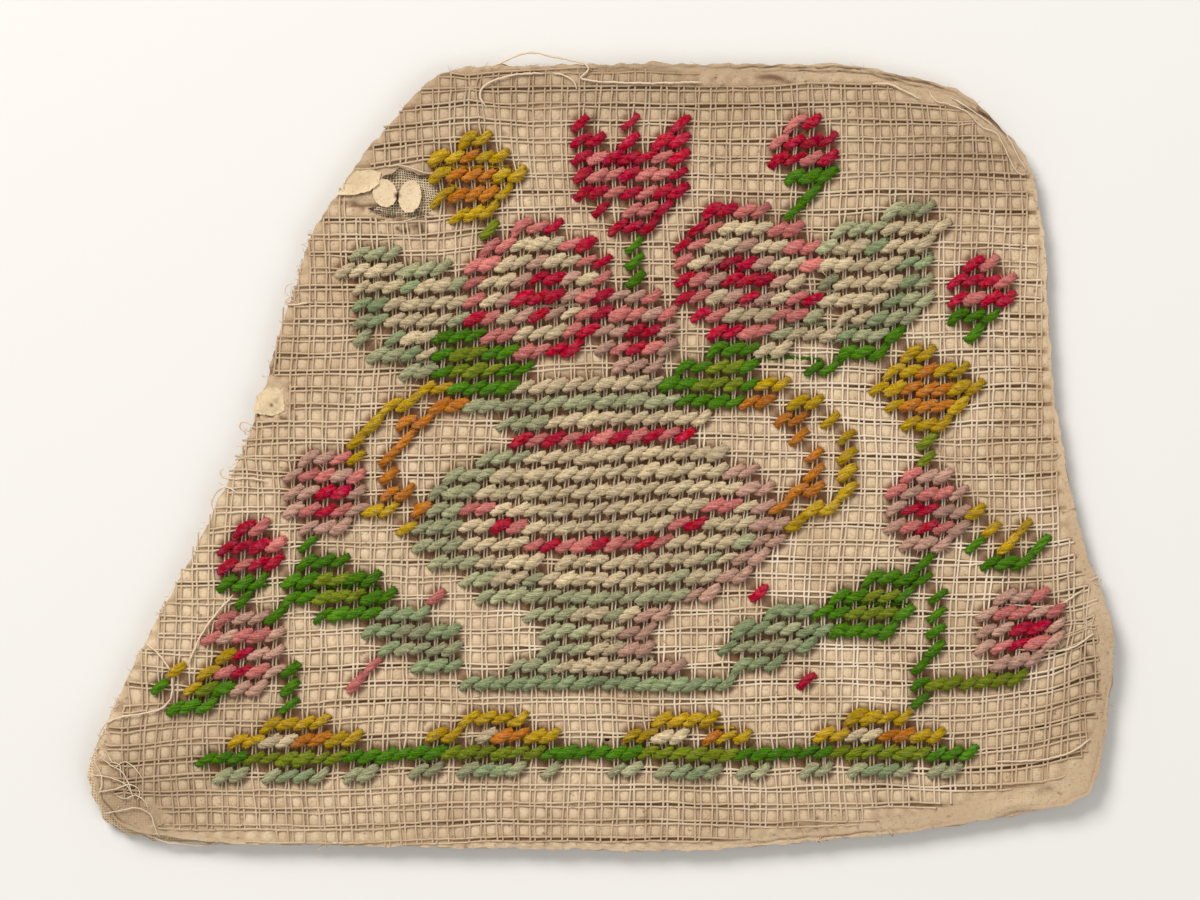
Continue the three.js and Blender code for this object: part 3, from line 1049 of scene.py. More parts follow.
def worked_at(u, v):
    """How far a grid place lies under the wool, from 0 to 1, fading out at its edge."""
    i = np.clip(np.floor(u).astype(int) + COLUMNS, 0, 2 * COLUMNS - 1)
    j = np.clip(np.floor(v).astype(int) + ROWS, 0, 2 * ROWS - 1)
    level = in_cell(WORKED_GRID, i, j, u - np.floor(u), v - np.floor(v))
    return smooth((level - 0.18) / 0.5)


def near_worked(cells=3, left=0.78):
    """The worked grid spread out over some cells, of which each keeps a share of what the last one had.

    The wool has kept the threads beside it clean.
    """
    spread = WORKED_GRID.copy()
    for _ in range(cells):
        padded = np.pad(spread, 1)
        beside = [padded[2:, 1:-1], padded[:-2, 1:-1], padded[1:-1, 2:], padded[1:-1, :-2]]
        spread = np.maximum(spread, left * np.max(beside, axis=0))
    return spread


CLEAN_GRID = near_worked()


def clean_at(u, v):
    """How near a grid place lies to the wool, from 0 to 1."""
    i = np.clip(np.round(u).astype(int) + COLUMNS, 0, 2 * COLUMNS)
    j = np.clip(np.round(v).astype(int) + ROWS, 0, 2 * ROWS)
    return CLEAN_GRID[i, j]


# ---------------------------------------------------------------- sheets pasted together
def resample_loop(corners, step):
    """Points along a closed line of corners, about a step apart."""
    corners = np.asarray(corners, float)
    after = np.roll(corners, -1, axis=0)
    points = []
    for start, end in zip(corners, after):
        count = max(1, int(np.hypot(*(end - start)) / step))
        for i in range(count):
            points.append(start + (end - start) * i / count)
    return np.array(points)


def ragged(loop, amount, seed):
    """The loop with each point moved a little in or out, smoothly."""
    t = np.arange(len(loop))
    away = loop - loop.mean(axis=0)
    length = np.hypot(away[:, 0], away[:, 1])[:, None]
    return loop + away / length * (amount * sway(seed, t, 23.0, 9.1, 4.3))[:, None]


def clear_of(points, loops, gap):
    """The points that keep the gap to every loop."""
    apart = distance_to(np.concatenate(loops), points[:, 0], points[:, 1])
    return points[apart > gap]


def wavy(middle, amount, seed, *wavelengths):
    """How far in a step of a sheet's wall lies, as a function of the place along its rim."""
    return lambda along: middle + amount * sway(seed, along, *wavelengths)


def grid_points(low, high, step):
    """Points a step apart all over a rectangle."""
    x, y = np.meshgrid(np.arange(low[0], high[0], step), np.arange(low[1], high[1], step), indexing="ij")
    return np.column_stack([x.ravel(), y.ravel()])


def triangles_in(rim, holes, inner):
    """Triangulates the rim and inner points, leaving the holes open. Points keep their order."""
    loops = [rim, *holes]
    edges, start = [], 0
    for loop in loops:
        count = len(loop)
        edges += [(start + i, start + (i + 1) % count) for i in range(count)]
        start += count
    points = np.concatenate([*loops, inner])
    flat = [Vector(p) for p in points.tolist()]
    found = delaunay_2d_cdt(flat, edges, [], 1, 1e-7, True)
    order = np.array([sources[0] for sources in found[3]])
    faces = order[np.array(found[2])]
    middle = points[faces].mean(axis=1)
    keep = inside_loop(middle, rim)
    for loop in holes:
        keep &= ~inside_loop(middle, loop)
    return points, faces[keep]


def inside_loop(points, loop):
    """Even-odd test of many points against one closed loop."""
    inside = np.zeros(len(points), bool)
    after = np.roll(loop, -1, axis=0)
    low, high = loop.min(axis=0), loop.max(axis=0)
    near = np.all((points > low) & (points < high), axis=1)
    x, y = points[near, 0], points[near, 1]
    odd = np.zeros(near.sum(), bool)
    for (x0, y0), (x1, y1) in zip(loop, after):
        if y0 != y1:
            odd ^= ((y0 > y) != (y1 > y)) & (x < (x1 - x0) * (y - y0) / (y1 - y0) + x0)
    inside[near] = odd
    return inside


SHARP_FROM = 62       # degrees between faces from which an edge of a sheet looks sharp
COARSE_POINTS = 1500  # about how many points the underside of a sheet keeps
COARSE_MARGIN = 1.5   # how far they keep from its rim and holes


def sheet_solid(name, rim, holes, inner, top_of, bottom_of, wall):
    """A closed sheet: a fine top, a coarse underside, and a wall round the rim and each hole.

    wall lists (how far in, share of the way down) for the steps between top and bottom edges.
    """
    loops = [rim, *holes]
    coarse = clear_of(inner[:: max(1, len(inner) // COARSE_POINTS)], loops, COARSE_MARGIN)
    top, top_faces = triangles_in(rim, holes, inner)
    low, low_faces = triangles_in(rim, holes, coarse)
    top = np.column_stack([top, top_of(top[:, 0], top[:, 1])])
    low = np.column_stack([low, bottom_of(low[:, 0], low[:, 1])])
    points = [top, low]
    faces = top_faces.tolist() + (low_faces[:, ::-1] + len(top)).tolist()
    count = len(top) + len(low)
    start = 0
    for number, loop in enumerate(loops):
        along = np.arange(len(loop))
        high_z, low_z = top[start + along, 2], low[start + along, 2]
        facing_out = (signed_area(loop) > 0) == (number == 0)
        after = np.roll(loop, -1, axis=0) - np.roll(loop, 1, axis=0)
        side = np.column_stack([after[:, 1], -after[:, 0]])
        side /= np.hypot(side[:, 0], side[:, 1])[:, None] + 1e-9
        if not facing_out:
            side = -side
        ring = along + start
        for inward, share in wall:
            amount = inward(along) if callable(inward) else inward
            place = loop - side * np.reshape(amount, (-1, 1))
            points.append(np.column_stack([place, high_z + (low_z - high_z) * share]))
            faces += wall_faces(ring, along + count, facing_out)
            ring = along + count
            count += len(loop)
        faces += wall_faces(ring, along + start + len(top), facing_out)
        start += len(loop)
    piece = mesh_piece(name, np.concatenate(points), faces=faces)
    piece.data.shade_smooth()
    piece.data.set_sharp_from_angle(angle=math.radians(SHARP_FROM))
    return piece


def signed_area(loop):
    """The area that a loop goes round, above 0 where it runs anticlockwise."""
    after = np.roll(loop, -1, axis=0)
    return float((loop[:, 0] * after[:, 1] - after[:, 0] * loop[:, 1]).sum() / 2)


def wall_faces(upper, lower, anticlockwise):
    """Quads between two rings of the same size, the upper one first, facing away from the sheet."""
    a, b = upper, np.roll(upper, -1)
    c, d = np.roll(lower, -1), lower
    quads = np.stack([a, d, c, b] if anticlockwise else [a, b, c, d], axis=1)
    return quads.tolist()


def rumple(x, y, size, seed=0.0):
    """Soft uneven height between about -1 and 1, with bumps of about this size."""
    return np.array([noise.noise((px / size, py / size, seed)) for px, py in zip(x, y)]) * 1.6


# Creases in the paper's bare margin: start, end, half width, height (below 0 a trough, which gets painted
# shade).
CREASES = (
    ((74.5, -21.0), (77.6, -30.5), 0.45, 0.22), ((72.8, -27.5), (77.0, -37.0), 0.40, -0.20),
    ((75.4, -36.0), (77.2, -43.5), 0.45, 0.22), ((70.0, -18.0), (74.2, -23.5), 0.40, -0.16),
    ((66.9, -51.8), (70.9, -51.3), 0.36, -0.13), ((60.0, -55.0), (67.5, -53.6), 0.50, 0.16),
    ((22.0, -58.8), (40.0, -57.6), 0.40, 0.16), ((58.0, -57.6), (70.0, -54.6), 0.30, -0.14),
    ((32.8, -54.5), (33.6, -56.4), 0.22, -0.20), ((33.6, -56.4), (32.9, -57.7), 0.22, -0.20),
    ((-8.0, -58.6), (9.0, -58.9), 0.40, 0.18), ((-60.0, -57.5), (-44.0, -58.4), 0.45, 0.20),
    ((-72.0, -52.8), (-66.0, -57.2), 0.70, 0.40), ((-74.8, -48.0), (-71.0, -54.2), 0.60, -0.24),
    ((55.9, 54.0), (63.0, 49.4), 0.24, -0.55), ((44.0, 58.2), (53.5, 56.4), 0.26, -0.18),
    ((58.5, 54.2), (64.8, 47.5), 0.30, 0.20), ((-6.0, 59.4), (16.0, 58.4), 0.35, 0.20),
    ((24.0, 58.6), (30.0, 57.4), 0.45, -0.24), ((-40.2, 40.2), (-35.2, 40.9), 0.20, -0.45),
    ((-39.4, 39.7), (-34.8, 40.3), 0.32, 0.30), ((-38.8, 39.0), (-36.6, 38.6), 0.35, -0.35),
    ((-36.4, 38.8), (-33.0, 38.2), 0.26, -0.45), ((-34.4, 37.8), (-29.6, 37.0), 0.30, -0.60),
    ((-28.9, 37.8), (-26.4, 36.9), 0.30, -0.55), ((-33.6, 35.9), (-27.4, 37.0), 0.42, 0.26),
    ((-31.6, 35.3), (-29.6, 34.8), 0.30, -0.50), ((-29.0, 35.7), (-26.8, 34.8), 0.34, -0.50),
    ((-52.0, 12.5), (-49.2, 19.0), 0.35, 0.16), ((-64.0, -18.0), (-60.5, -9.0), 0.40, 0.18),
    ((-51.6, 6.4), (-48.4, 5.9), 0.26, -0.60), ((-53.2, 9.2), (-54.4, 4.8), 0.22, 0.30),
    ((-52.6, 8.4), (-53.7, 4.4), 0.20, -0.40), ((-51.0, 12.6), (-49.4, 15.2), 0.30, -0.30),
)


def creased(x, y):
    """The height that the creases add at each place."""
    height = np.zeros(len(x))
    for (x0, y0), (x1, y1), half, rise in CREASES:
        long_x, long_y = x1 - x0, y1 - y0
        length = math.hypot(long_x, long_y)
        share = np.clip(((x - x0) * long_x + (y - y0) * long_y) / length**2, 0, 1)
        bow = 0.10 * length * np.sin(math.pi * share)
        off_x = x - (x0 + long_x * share - long_y / length * bow)
        off_y = y - (y0 + long_y * share + long_x / length * bow)
        fade = np.sin(math.pi * np.clip(share, 0.06, 0.94)) ** 0.5
        height += rise * fade * np.exp(-(off_x**2 + off_y**2) / half**2)
    return height


# Where, in one cell, the paper has its rows and columns of points: at the pair, beside it, and on the pillow,
# which has one more point in its middle.
CELL_SHARES = (0.0, 0.19, 0.33, 0.67, 0.81)
PILLOW_MIDDLE = (0.5,)

# How far in from its rim the paper has rings of points, for its ply edges and creases, and to where they
# take the place of the grid's.
RINGS = (0.22, 0.44, 0.66, 0.88, 1.10, 1.32, 1.54, 1.76, 1.98, 2.20, 2.45)
RINGS_END = 2.75

# Where plies of paper end one short of the other: how far in, middle direction in degrees, spread, depth.
PLY_EDGES = (
    (0.55, 58.0, 20.0, 0.24), (1.15, 56.0, 11.0, 0.24), (0.75, 92.0, 14.0, 0.14),
    (0.60, 300.0, 12.0, 0.20), (0.70, 330.0, 9.0, 0.10), (0.55, 216.0, 4.0, 0.18),
)


def ply_edges(x, y):
    """Narrow grooves that follow the rim, one where each ply ends, with the next ply's edge up beside it."""
    depth = PAPER.reach(x, y) - np.hypot(x, y)
    way = np.degrees(np.arctan2(y, x)) % 360
    height = np.zeros(len(x))
    for number, (inward, middle, spread, drop) in enumerate(PLY_EDGES):
        strength = near_way(way, middle, spread)
        off = depth - inward - 0.14 * sway(91 + number, way, 9.0, 3.3)
        height += strength * drop * (0.6 * np.exp(-((off + 0.32) / 0.2) ** 2) - np.exp(-(off / 0.16) ** 2))
    return height


# Stains and specks that stand out, and painted shade in the slits and along the edges of the tear (the rows
# between x -36 and -24, y 35 and 45): x, y, radius, strength.
SPOTS_AND_SLIT_SHADES = (
    (-0.9, 52.1, 0.7, 0.9), (-17.5, 47.0, 0.5, 0.7), (-14.9, 50.0, 0.5, 0.6), (-38.9, 8.9, 0.6, 0.8),
    (43.7, -50.5, 0.4, 1.0), (46.3, -50.8, 0.4, 1.0), (47.9, -52.8, 0.4, 1.0), (41.1, -52.8, 0.4, 0.8),
    (43.4, -52.9, 0.4, 0.9), (-27.1, 5.0, 1.1, 0.35), (21.7, -18.2, 1.0, 0.35), (69.4, -51.4, 0.8, 0.22),
    (67.9, -51.6, 0.7, 0.22), (-9.5, 59.6, 0.9, 0.3), (61.0, 17.0, 0.5, 0.5), (-63.0, -51.0, 0.5, 0.5),
    (-46.0, -46.5, 0.5, 0.6), (30.5, -40.0, 0.6, 0.5), (7.0, -55.8, 0.5, 0.5), (56.0, -8.0, 0.6, 0.45),
    (-31.3, 40.4, 0.5, 1.0), (-27.2, 35.4, 0.6, 0.6), (-50.7, 8.1, 0.36, 0.8), (-50.1, 8.7, 0.5, 0.3),
    (-35.4, 38.2, 0.45, 0.9), (-34.5, 37.9, 0.45, 0.9), (-33.6, 37.6, 0.5, 0.9), (-32.7, 37.3, 0.55, 1.0),
    (-31.8, 37.2, 0.55, 1.0), (-30.9, 37.3, 0.5, 0.9), (-28.3, 37.9, 0.5, 0.9), (-27.6, 37.5, 0.55, 0.8),
    (-31.0, 35.2, 0.5, 0.9), (-30.4, 34.9, 0.4, 0.8), (-28.6, 35.0, 0.5, 0.8), (-27.8, 35.2, 0.55, 0.9),
    (-32.2, 43.2, 0.6, 0.7), (-31.2, 43.4, 0.5, 0.5), (-29.9, 43.6, 0.6, 0.5), (-28.8, 43.6, 0.6, 0.6),
    (-27.7, 43.3, 0.55, 0.7), (-25.6, 42.7, 0.4, 0.6), (-24.8, 42.8, 0.4, 0.7), (-24.1, 42.9, 0.4, 0.7),
)


# Broad soiled places: x, y, reach across, reach up, strength.
GRIME = (
    (5.0, 58.5, 62.0, 8.0, 0.72), (56.0, 47.0, 14.0, 11.0, 0.66), (-72.0, -53.0, 11.0, 8.0, 0.90),
    (-66.0, -42.0, 10.0, 8.0, 0.35), (78.0, -34.0, 7.0, 26.0, 0.60), (60.0, -57.5, 24.0, 4.0, 0.30),
    (-52.0, 22.0, 7.0, 16.0, 0.25), (-34.0, 47.0, 10.0, 7.0, 0.30), (26.0, 24.0, 14.0, 8.0, 0.25),
    (-27.0, -14.0, 9.0, 6.0, 0.20), (0.0, -57.0, 62.0, 5.0, 0.30), (0.0, 30.0, 90.0, 28.0, 0.15),
)


# Places where the gauze shows through the paper: x, y, reach across, reach up, strength.
GAUZY = (
    (-74.0, -53.0, 7.0, 5.0, 1.0), (66.0, -46.0, 9.0, 7.0, 0.8), (50.0, -40.0, 8.0, 5.0, 0.6),
    (-56.0, 4.0, 5.0, 10.0, 0.6), (-60.0, -30.0, 6.0, 6.0, 0.5), (34.0, -50.0, 12.0, 5.0, 0.5),
    (56.0, 20.0, 5.0, 12.0, 0.5), (-46.0, 34.0, 6.0, 5.0, 0.5), (20.0, 54.0, 12.0, 4.0, 0.4),
)


def spread_over(places, x, y):
    """How strongly the places of a table like GRIME mark each x, y, from 0 to 1."""
    clear = np.ones(np.shape(x))
    for at_x, at_y, across, up, strength in places:
        clear = clear * (1 - strength * np.exp(-((x - at_x) / across) ** 2 - ((y - at_y) / up) ** 2))
    return 1 - clear


def spots_and_slit_shade_at(x, y):
    """How strongly the stains, specks and painted shade of the tear's slits mark each place, from 0 to 1."""
    mark = np.zeros(len(x))
    for at_x, at_y, radius, strength in SPOTS_AND_SLIT_SHADES:
        mark = np.maximum(mark, strength * smooth(1.35 - np.hypot(x - at_x, y - at_y) / radius))
    return mark


def dash_at(x, y, u, v):
    """How far the paper keeps out of the gap of a cross pair, 0.1 to 1: it varies by row, place and cell."""
    row = 0.5 + 0.5 * np.sin(np.round(v) * 5.1)
    cell = 0.5 + 0.5 * np.sin(np.round(u - 0.5) * 43.7 + np.round(v) * 91.3)
    left = smooth(-(x + y / 3 + 20) / 45)
    level = 0.16 + 0.30 * row + 0.40 * cell + 0.45 * rumple(x, y, 14.0, 12.0) - 0.30 * left
    return 0.08 + 0.92 * smooth(level)


def paper_heights(x, y):
    """The paper's upper face at each place, its grid place, and what else its material reads, by name."""
    u, v = unlay(x, y)
    covered = smooth((CANVAS.reach(x, y) - np.hypot(x, y) + 0.5) / 0.8)
    for place in (CANVAS_TEAR, WORN_PLACE, BARE_CORNER):
        covered = covered * ~in_corners(x, y, place, 0.35)
    worked = worked_at(u, v)
    near_u, near_v = np.abs(u - np.round(u)), np.abs(v - np.round(v))
    swell = smooth((np.minimum(near_u / PAIR_HALF_U, near_v / PAIR_HALF_V) - 1.15) / 1.1)
    upright = smooth(1.25 - near_u / PAIR_HALF_U) * (GROOVE_UPRIGHT - UNDER_THREAD)
    dash = dash_at(x, y, u, v)
    cross = smooth(1.25 - near_v / PAIR_HALF_V) * (GROOVE_CROSS - UNDER_THREAD) * dash
    cell = 0.5 + 0.5 * np.sin(np.floor(u) * 12.9898 + np.floor(v) * 78.233)
    dome = 1 - 0.40 * smooth(np.hypot(u - np.floor(u) - 0.5, v - np.floor(v) - 0.5) / 0.25)
    pillow = PILLOW * (0.7 + 0.4 * cell) * (0.45 + 0.55 * smooth(0.75 + 0.9 * rumple(x, y, 13.0, 4.0)))
    open_height = UNDER_THREAD + (pillow - UNDER_THREAD) * swell * dome + np.minimum(upright, cross)
    bare_height = 0.06 + 0.10 * rumple(x, y, 3.5, 2.0) + 0.05 * rumple(x, y, 1.1, 5.0)
    folds = creased(x, y) + ply_edges(x, y)
    height = bare_height + (open_height - bare_height) * covered
    height += 0.05 * rumple(x, y, 5.0, 9.0) + folds
    height += (WORKED_LEVEL - height) * worked * 0.9
    # painted shade in the troughs of creases and ply edges, none under the wool
    crease_shade = smooth(-folds / 0.22) * (1 - worked)
    shade = 0.5 + 0.5 * np.sin(np.floor(u) * 71.3 + np.floor(v) * 37.9)
    dull = smooth(1.5 * shade - 0.75 + 0.6 * rumple(x, y, 9.0, 3.0)) * covered
    values = {"covered": covered, "worked": worked, "crease_shade": crease_shade, "dash": dash * covered, "dull": dull,
              "spot": spots_and_slit_shade_at(x, y), "grime": spread_over(GRIME, x, y), "gauzy": spread_over(GAUZY, x, y)}
    return ground(x, y) + height, (u, v), values


def paper_places(shares):
    """The points of the paper at these shares of every cell, each way."""
    u = np.concatenate([column + np.array(shares) for column in range(-COLUMNS, COLUMNS)])
    v = np.concatenate([row + np.array(shares) for row in range(-ROWS, ROWS)])
    u, v = [a.ravel() for a in np.meshgrid(u, v, indexing="ij")]
    x, y = lay(u, v)
    keep = PAPER.inside(x, y, 0.35)
    return np.column_stack([x[keep], y[keep]])


def rim_rings(rim, offsets):
    """Rings of points inside a rim, kept only where the canvas doesn't reach."""
    after = np.roll(rim, -1, axis=0) - np.roll(rim, 1, axis=0)
    side = np.column_stack([after[:, 1], -after[:, 0]]) / np.hypot(after[:, 0], after[:, 1])[:, None]
    points = np.concatenate([rim - side * offset for offset in offsets])
    return points[np.hypot(points[:, 0], points[:, 1]) > CANVAS.reach(points[:, 0], points[:, 1]) - 0.2]


def weave_values(piece):
    """Stores what the paper's material reads at every point of a piece."""
    points = mesh_points(piece.data)
    _, (u, v), values = paper_heights(points[:, 0], points[:, 1])
    weave = piece.data.attributes.new("weave", "FLOAT_VECTOR", "POINT")
    weave.data.foreach_set("vector", np.column_stack([u, v, 0 * u]).astype(np.float32).ravel())
    give_values(piece, **values)


def make_paper():
    """The paper backing, pressed into the canvas where that covers it, creased where it is bare."""
    rim = ragged(resample_loop(PAPER.rim(720), 0.55), 0.16, 3)
    holes = [ragged(resample_loop(PAPER_TEAR, 0.5), 0.22, 4)]
    holes += [round_loop(x, y, r, 9) for x, y, r in PIN_HOLES]
    inner = np.concatenate([paper_places(shares) for shares in (CELL_SHARES, PILLOW_MIDDLE)])
    x, y = inner.T
    bare = ~CANVAS.inside(x, y) & PAPER.inside(x, y)
    inner = inner[~(bare & (PAPER.reach(x, y) - np.hypot(x, y) < RINGS_END))]
    inner = clear_of(np.concatenate([inner, rim_rings(rim, RINGS)]), [rim, *holes], 0.18)
    for hole in holes:
        inner = inner[~inside_loop(inner, hole)]
    # the worn edges of its plies, one under the other
    plies = (
        (0.0, 0.18),
        (wavy(0.35, 0.30, 12, 31.0, 7.0), 0.34),
        (wavy(0.35, 0.30, 12, 31.0, 7.0), 0.44),
        (wavy(0.10, 0.28, 13, 43.0, 11.0), 0.50),
        (wavy(0.12, 0.28, 13, 43.0, 11.0), 0.82),
    )
    paper = sheet_solid("paper_sheet", rim, holes, inner, lambda x, y: paper_heights(x, y)[0],
                        lambda x, y: UNDER_PAPER(x, y) - 0.22, plies)
    paper.data.materials.append(FINISHES["paper"])
    weave_values(paper)
    return paper


def round_loop(x, y, radius, count):
    """A hole as a pin leaves it, a little lower than wide."""
    turn = np.linspace(0, 2 * math.pi, count, endpoint=False)
    return np.column_stack([x + radius * np.cos(turn), y + radius * np.sin(turn) * 0.8])


def make_gauze():
    """The gauze lining: a thin soft sheet under the paper, wavy at its rim."""
    rim = ragged(resample_loop(GAUZE.rim(720), 0.7), 0.30, 21)
    inner = grid_points((-82, -64), (82, 64), GAUZE_STEP)
    inner = inner[GAUZE.inside(inner[:, 0], inner[:, 1], 0.9)]
    inner = clear_of(inner, [rim], 0.6)

    def top(x, y):
        in_tear = in_corners(x, y, PAPER_TEAR, 0.5)
        return UNDER_GAUZE(x, y) + 1.02 + 0.05 * rumple(x, y, 2.5, 7.0) + 0.75 * in_tear

    def bottom(x, y):
        edge = smooth((4.0 - (GAUZE.reach(x, y) - np.hypot(x, y))) / 4.0)
        return UNDER_GAUZE(x, y) + edge * 0.12 * (1 + rumple(x, y, 4.0, 8.0))

    wall = ((wavy(-0.10, 0.15, 22, 5.0, 2.3), 0.25), (wavy(-0.05, 0.20, 23, 7.0, 2.9), 0.60), (0.15, 0.85))
    gauze = sheet_solid("gauze_sheet", rim, [], inner, top, bottom, wall)
    gauze.data.materials.append(FINISHES["gauze"])
    x, y, z = mesh_points(gauze.data).T
    give_values(gauze, shaded=in_corners(x, y, PAPER_TEAR, 1.2) * (z > 0.6))
    return gauze


# ---------------------------------------------------------------- canvas
def thread_line(across, number, side):
    """One canvas thread from edge to edge, as grid places with how it rises at each.

    across is True for the cross threads (weft). number is its pair and side -1 or 1 in the pair.
    """
    span = COLUMNS if across else ROWS
    half_along = PAIR_HALF_U if across else PAIR_HALF_V
    half_beside = PAIR_HALF_V if across else PAIR_HALF_U
    steps = np.arange(-span, span)
    along = np.stack([steps - half_along, steps + half_along], axis=1).ravel()
    even = (number + (side > 0)) % 2 == 0
    over = 1 if even == across else -1
    rise = np.tile([over, -over], len(steps))
    seed = (1000 if across else 5000) + 4 * number + side
    rng = np.random.default_rng(seed + 20000)
    number_all = np.full(len(along), float(number))
    worked = worked_at(along, number_all) if across else worked_at(number_all, along)
    together = 1 - DRAWN_TOGETHER * worked
    beside = number + side * half_beside * together * (1 + 0.16 * sway(seed, along, 11.0, 4.7))
    beside = beside + 0.030 * sway(seed // 4, along, 9.0, 5.3) + rng.normal(0, 0.013, len(along))
    return (along, beside, rise) if across else (beside, along, rise)


def runs_of(keep):
    """The first and last index of each unbroken run of True."""
    edges = np.flatnonzero(np.diff(np.concatenate([[0], keep.astype(int), [0]])))
    return list(zip(edges[::2], edges[1::2]))


def thread_heights(x, y, u, v, rise):
    """How high a thread's middle lies: over and under as it crosses, lower at the edge and under the wool."""
    edge = CANVAS.reach(x, y) - np.hypot(x, y)
    sunk = 1 - smooth(edge / 3.0)
    lift = THREAD_LEVEL + THREAD_SWING * rise - 0.12 * sunk
    return ground(x, y) + lift - 0.04 * worked_at(u, v)


def thread_left(across, x, y, number, side, rng):
    """Where a thread still lies: not past the worn edge, in the tear or in a bare place."""
    margin = 0.05 + 0.45 * sway(77 if across else 78, np.full(len(x), number + 0.3 * side), 7.0, 3.1)
    if across:
        margin = margin - 1.7 * smooth((x - 62) / 8) * np.exp(-(((y + 33) / 15) ** 2))
    keep = CANVAS.inside(x, y, margin)
    keep &= ~in_corners(x, y, CANVAS_TEAR, 0.15 + 0.5 * rng.random())
    keep &= ~in_corners(x, y, WORN_PLACE, 0.2) & ~in_corners(x, y, BARE_CORNER, 0.4 * rng.random())
    if not across:
        keep &= (x > -73.4 - 0.8 * rng.random()) | (y > -44.5)
    return keep


def add_threads(paths, across):
    """Adds every cross thread (weft), or every upright one (warp), to the canvas's paths."""
    count = ROWS if across else COLUMNS
    for number in range(-count, count):
        for side in (-1, 1):
            u, v, rise = thread_line(across, number, side)
            x, y = lay(u, v)
            rng = np.random.default_rng(9000 + 4 * number + side + 700 * across)
            keep = thread_left(across, x, y, number, side, rng)
            points = np.column_stack([x, y, thread_heights(x, y, u, v, rise)])
            girth = 1 + 0.10 * sway(300 + number, np.arange(len(x)) + 50.0 * side, 9.0, 23.0, 3.7)
            girth = girth * rng.normal(1.0, 0.05) + rng.normal(0, 0.03, len(x))
            girth = girth * (CROSS_GIRTH if across else 1.0) * (1 - 0.12 * worked_at(u, v))
            clean = clean_at(u, v) * (0.55 + 0.3 * sway(400, x / 5 + y / 7, 3.0, 5.1))
            low = smooth((-32 - y) / 10) * (0.30 + 0.40 * smooth((10 - x) / 40))
            clean = clean * (0.5 + 0.5 * smooth((x + 20 - y) / 50)) * (1 - low)
            dull = rng.normal(0.22, 0.25) + 0.45 * sway(500 + number, x / 3 + y / 5, 11.0, 4.3)
            dull = np.clip(dull + rng.normal(0, 0.18, len(x)), 0, 1)
            values = {"girth": girth, "clean": np.clip(clean, 0, 1), "dull": dull,
                      "grime": spread_over(GRIME, x, y), "spot": spots_and_slit_shade_at(x, y)}
            for first, last in runs_of(keep):
                if last - first > 2:
                    left = {name: numbers[first:last] for name, numbers in values.items()}
                    paths.add(points[first:last], phase=rng.random(), **left)


def make_canvas():
    """The double-thread canvas, every thread of it over and under the others."""
    paths = Paths()
    add_threads(paths, True)
    add_threads(paths, False)
    return paths.yarn("canvas_cloth", FINISHES["canvas"], THREAD_RADIUS)


# ---------------------------------------------------------------- wool
def stitch_end(column, row, letter, way):
    """How a stitch ends at its upper right (way 1) or its lower left (way -1)."""
    if (column + way, row) in PICTURE:
        return END_BESIDE
    if PICTURE.get((column + way, row + way)) == letter:
        return END_DIAGONAL
    return END_FREE


def stitch_path(column, row, letter):
    """The middle line of one slanting stitch, its girth and how near its roots it is, from point to point.
    The last sets the painted shade where the stitch dives into its hole.
    """
    low_u, low_v, low_z = stitch_end(column, row, letter, -1)
    high_u, high_v, high_z = stitch_end(column, row, letter, 1)
    t = np.linspace(0, 1, STITCH_POINTS)
    jitter = CHANCE.normal(0, STITCH_JITTER, 6)
    start = np.array([column - low_u + jitter[0], row - low_v + jitter[1]])
    end = np.array([column + high_u + jitter[2], row + high_v + jitter[3]])
    middle = np.array([column + jitter[4], row + jitter[5]])
    pull = 4 * t * (1 - t)
    straight = start + (end - start) * t[:, None]
    place = straight + (middle - (start + end) / 2) * pull[:, None]
    x, y = lay(place[:, 0], place[:, 1])
    arch = np.sin(math.pi * np.clip(t, 0.01, 0.99)) ** 0.7
    crest = STITCH_CREST * CHANCE.normal(1.0, CREST_SPREAD)
    end_z = low_z + (high_z - low_z) * t
    z = ground(x, y) + end_z + (crest - end_z) * arch
    girth = (0.80 + 0.20 * end_z + 0.20 * np.sin(math.pi * t)) * CHANCE.normal(1.0, GIRTH_SPREAD)
    girth = girth * (1 + 0.09 * sway(61, np.array([column + 5.3 * row]), 9.0, 4.1)[0])
    # painted shade at each end of the stitch, stronger the lower that end lies
    root = np.clip(1 - np.sin(math.pi * t) * 3.0, 0, 1) * (1 - end_z)
    return np.column_stack([x, y, z]), girth, root


def stitch_tint(column, row, letter):
    """How much lighter or darker than its colour a stitch is: dye lots, fading and chance."""
    lot = sway(ord(letter), np.array([column + 2.2 * row]), 17.0, 7.0)[0]
    return 0.7 * lot + CHANCE.normal(0, TINT_SPREAD)


def stitches_of(letter):
    """The places on the chart that are worked in one wool."""
    return [place for place, found in PICTURE.items() if found == letter]


def add_floats(letter, paths):
    """Wool carried behind the canvas from one patch of a colour to the next; it shows through open holes."""
    places = sorted(stitches_of(letter), key=lambda place: place[::-1])
    for (u0, v0), (u1, v1) in zip(places, places[1:]):
        length = math.hypot(u1 - u0, v1 - v0)
        if 2 < length <= FLOAT_REACH and CHANCE.random() < FLOAT_SHARE:
            t = np.linspace(0, 1, int(4 * length) + 1)
            bow = 0.2 * CHANCE.normal() * np.sin(math.pi * t)
            u, v = u0 + 0.5 + (u1 - u0) * t, v0 + 0.5 + (v1 - v0) * t + bow
            x, y = lay(u, v)
            z = ground(x, y) + 0.02 + 0.16 * np.abs(np.sin(math.pi * u) * np.sin(math.pi * v))
            points = np.column_stack([x, y, z])
            # root and tint paint the carried wool darker: painted shade under the canvas
            paths.add(points, girth=FLOAT_GIRTH, root=0.25, tint=-0.6, phase=CHANCE.random())


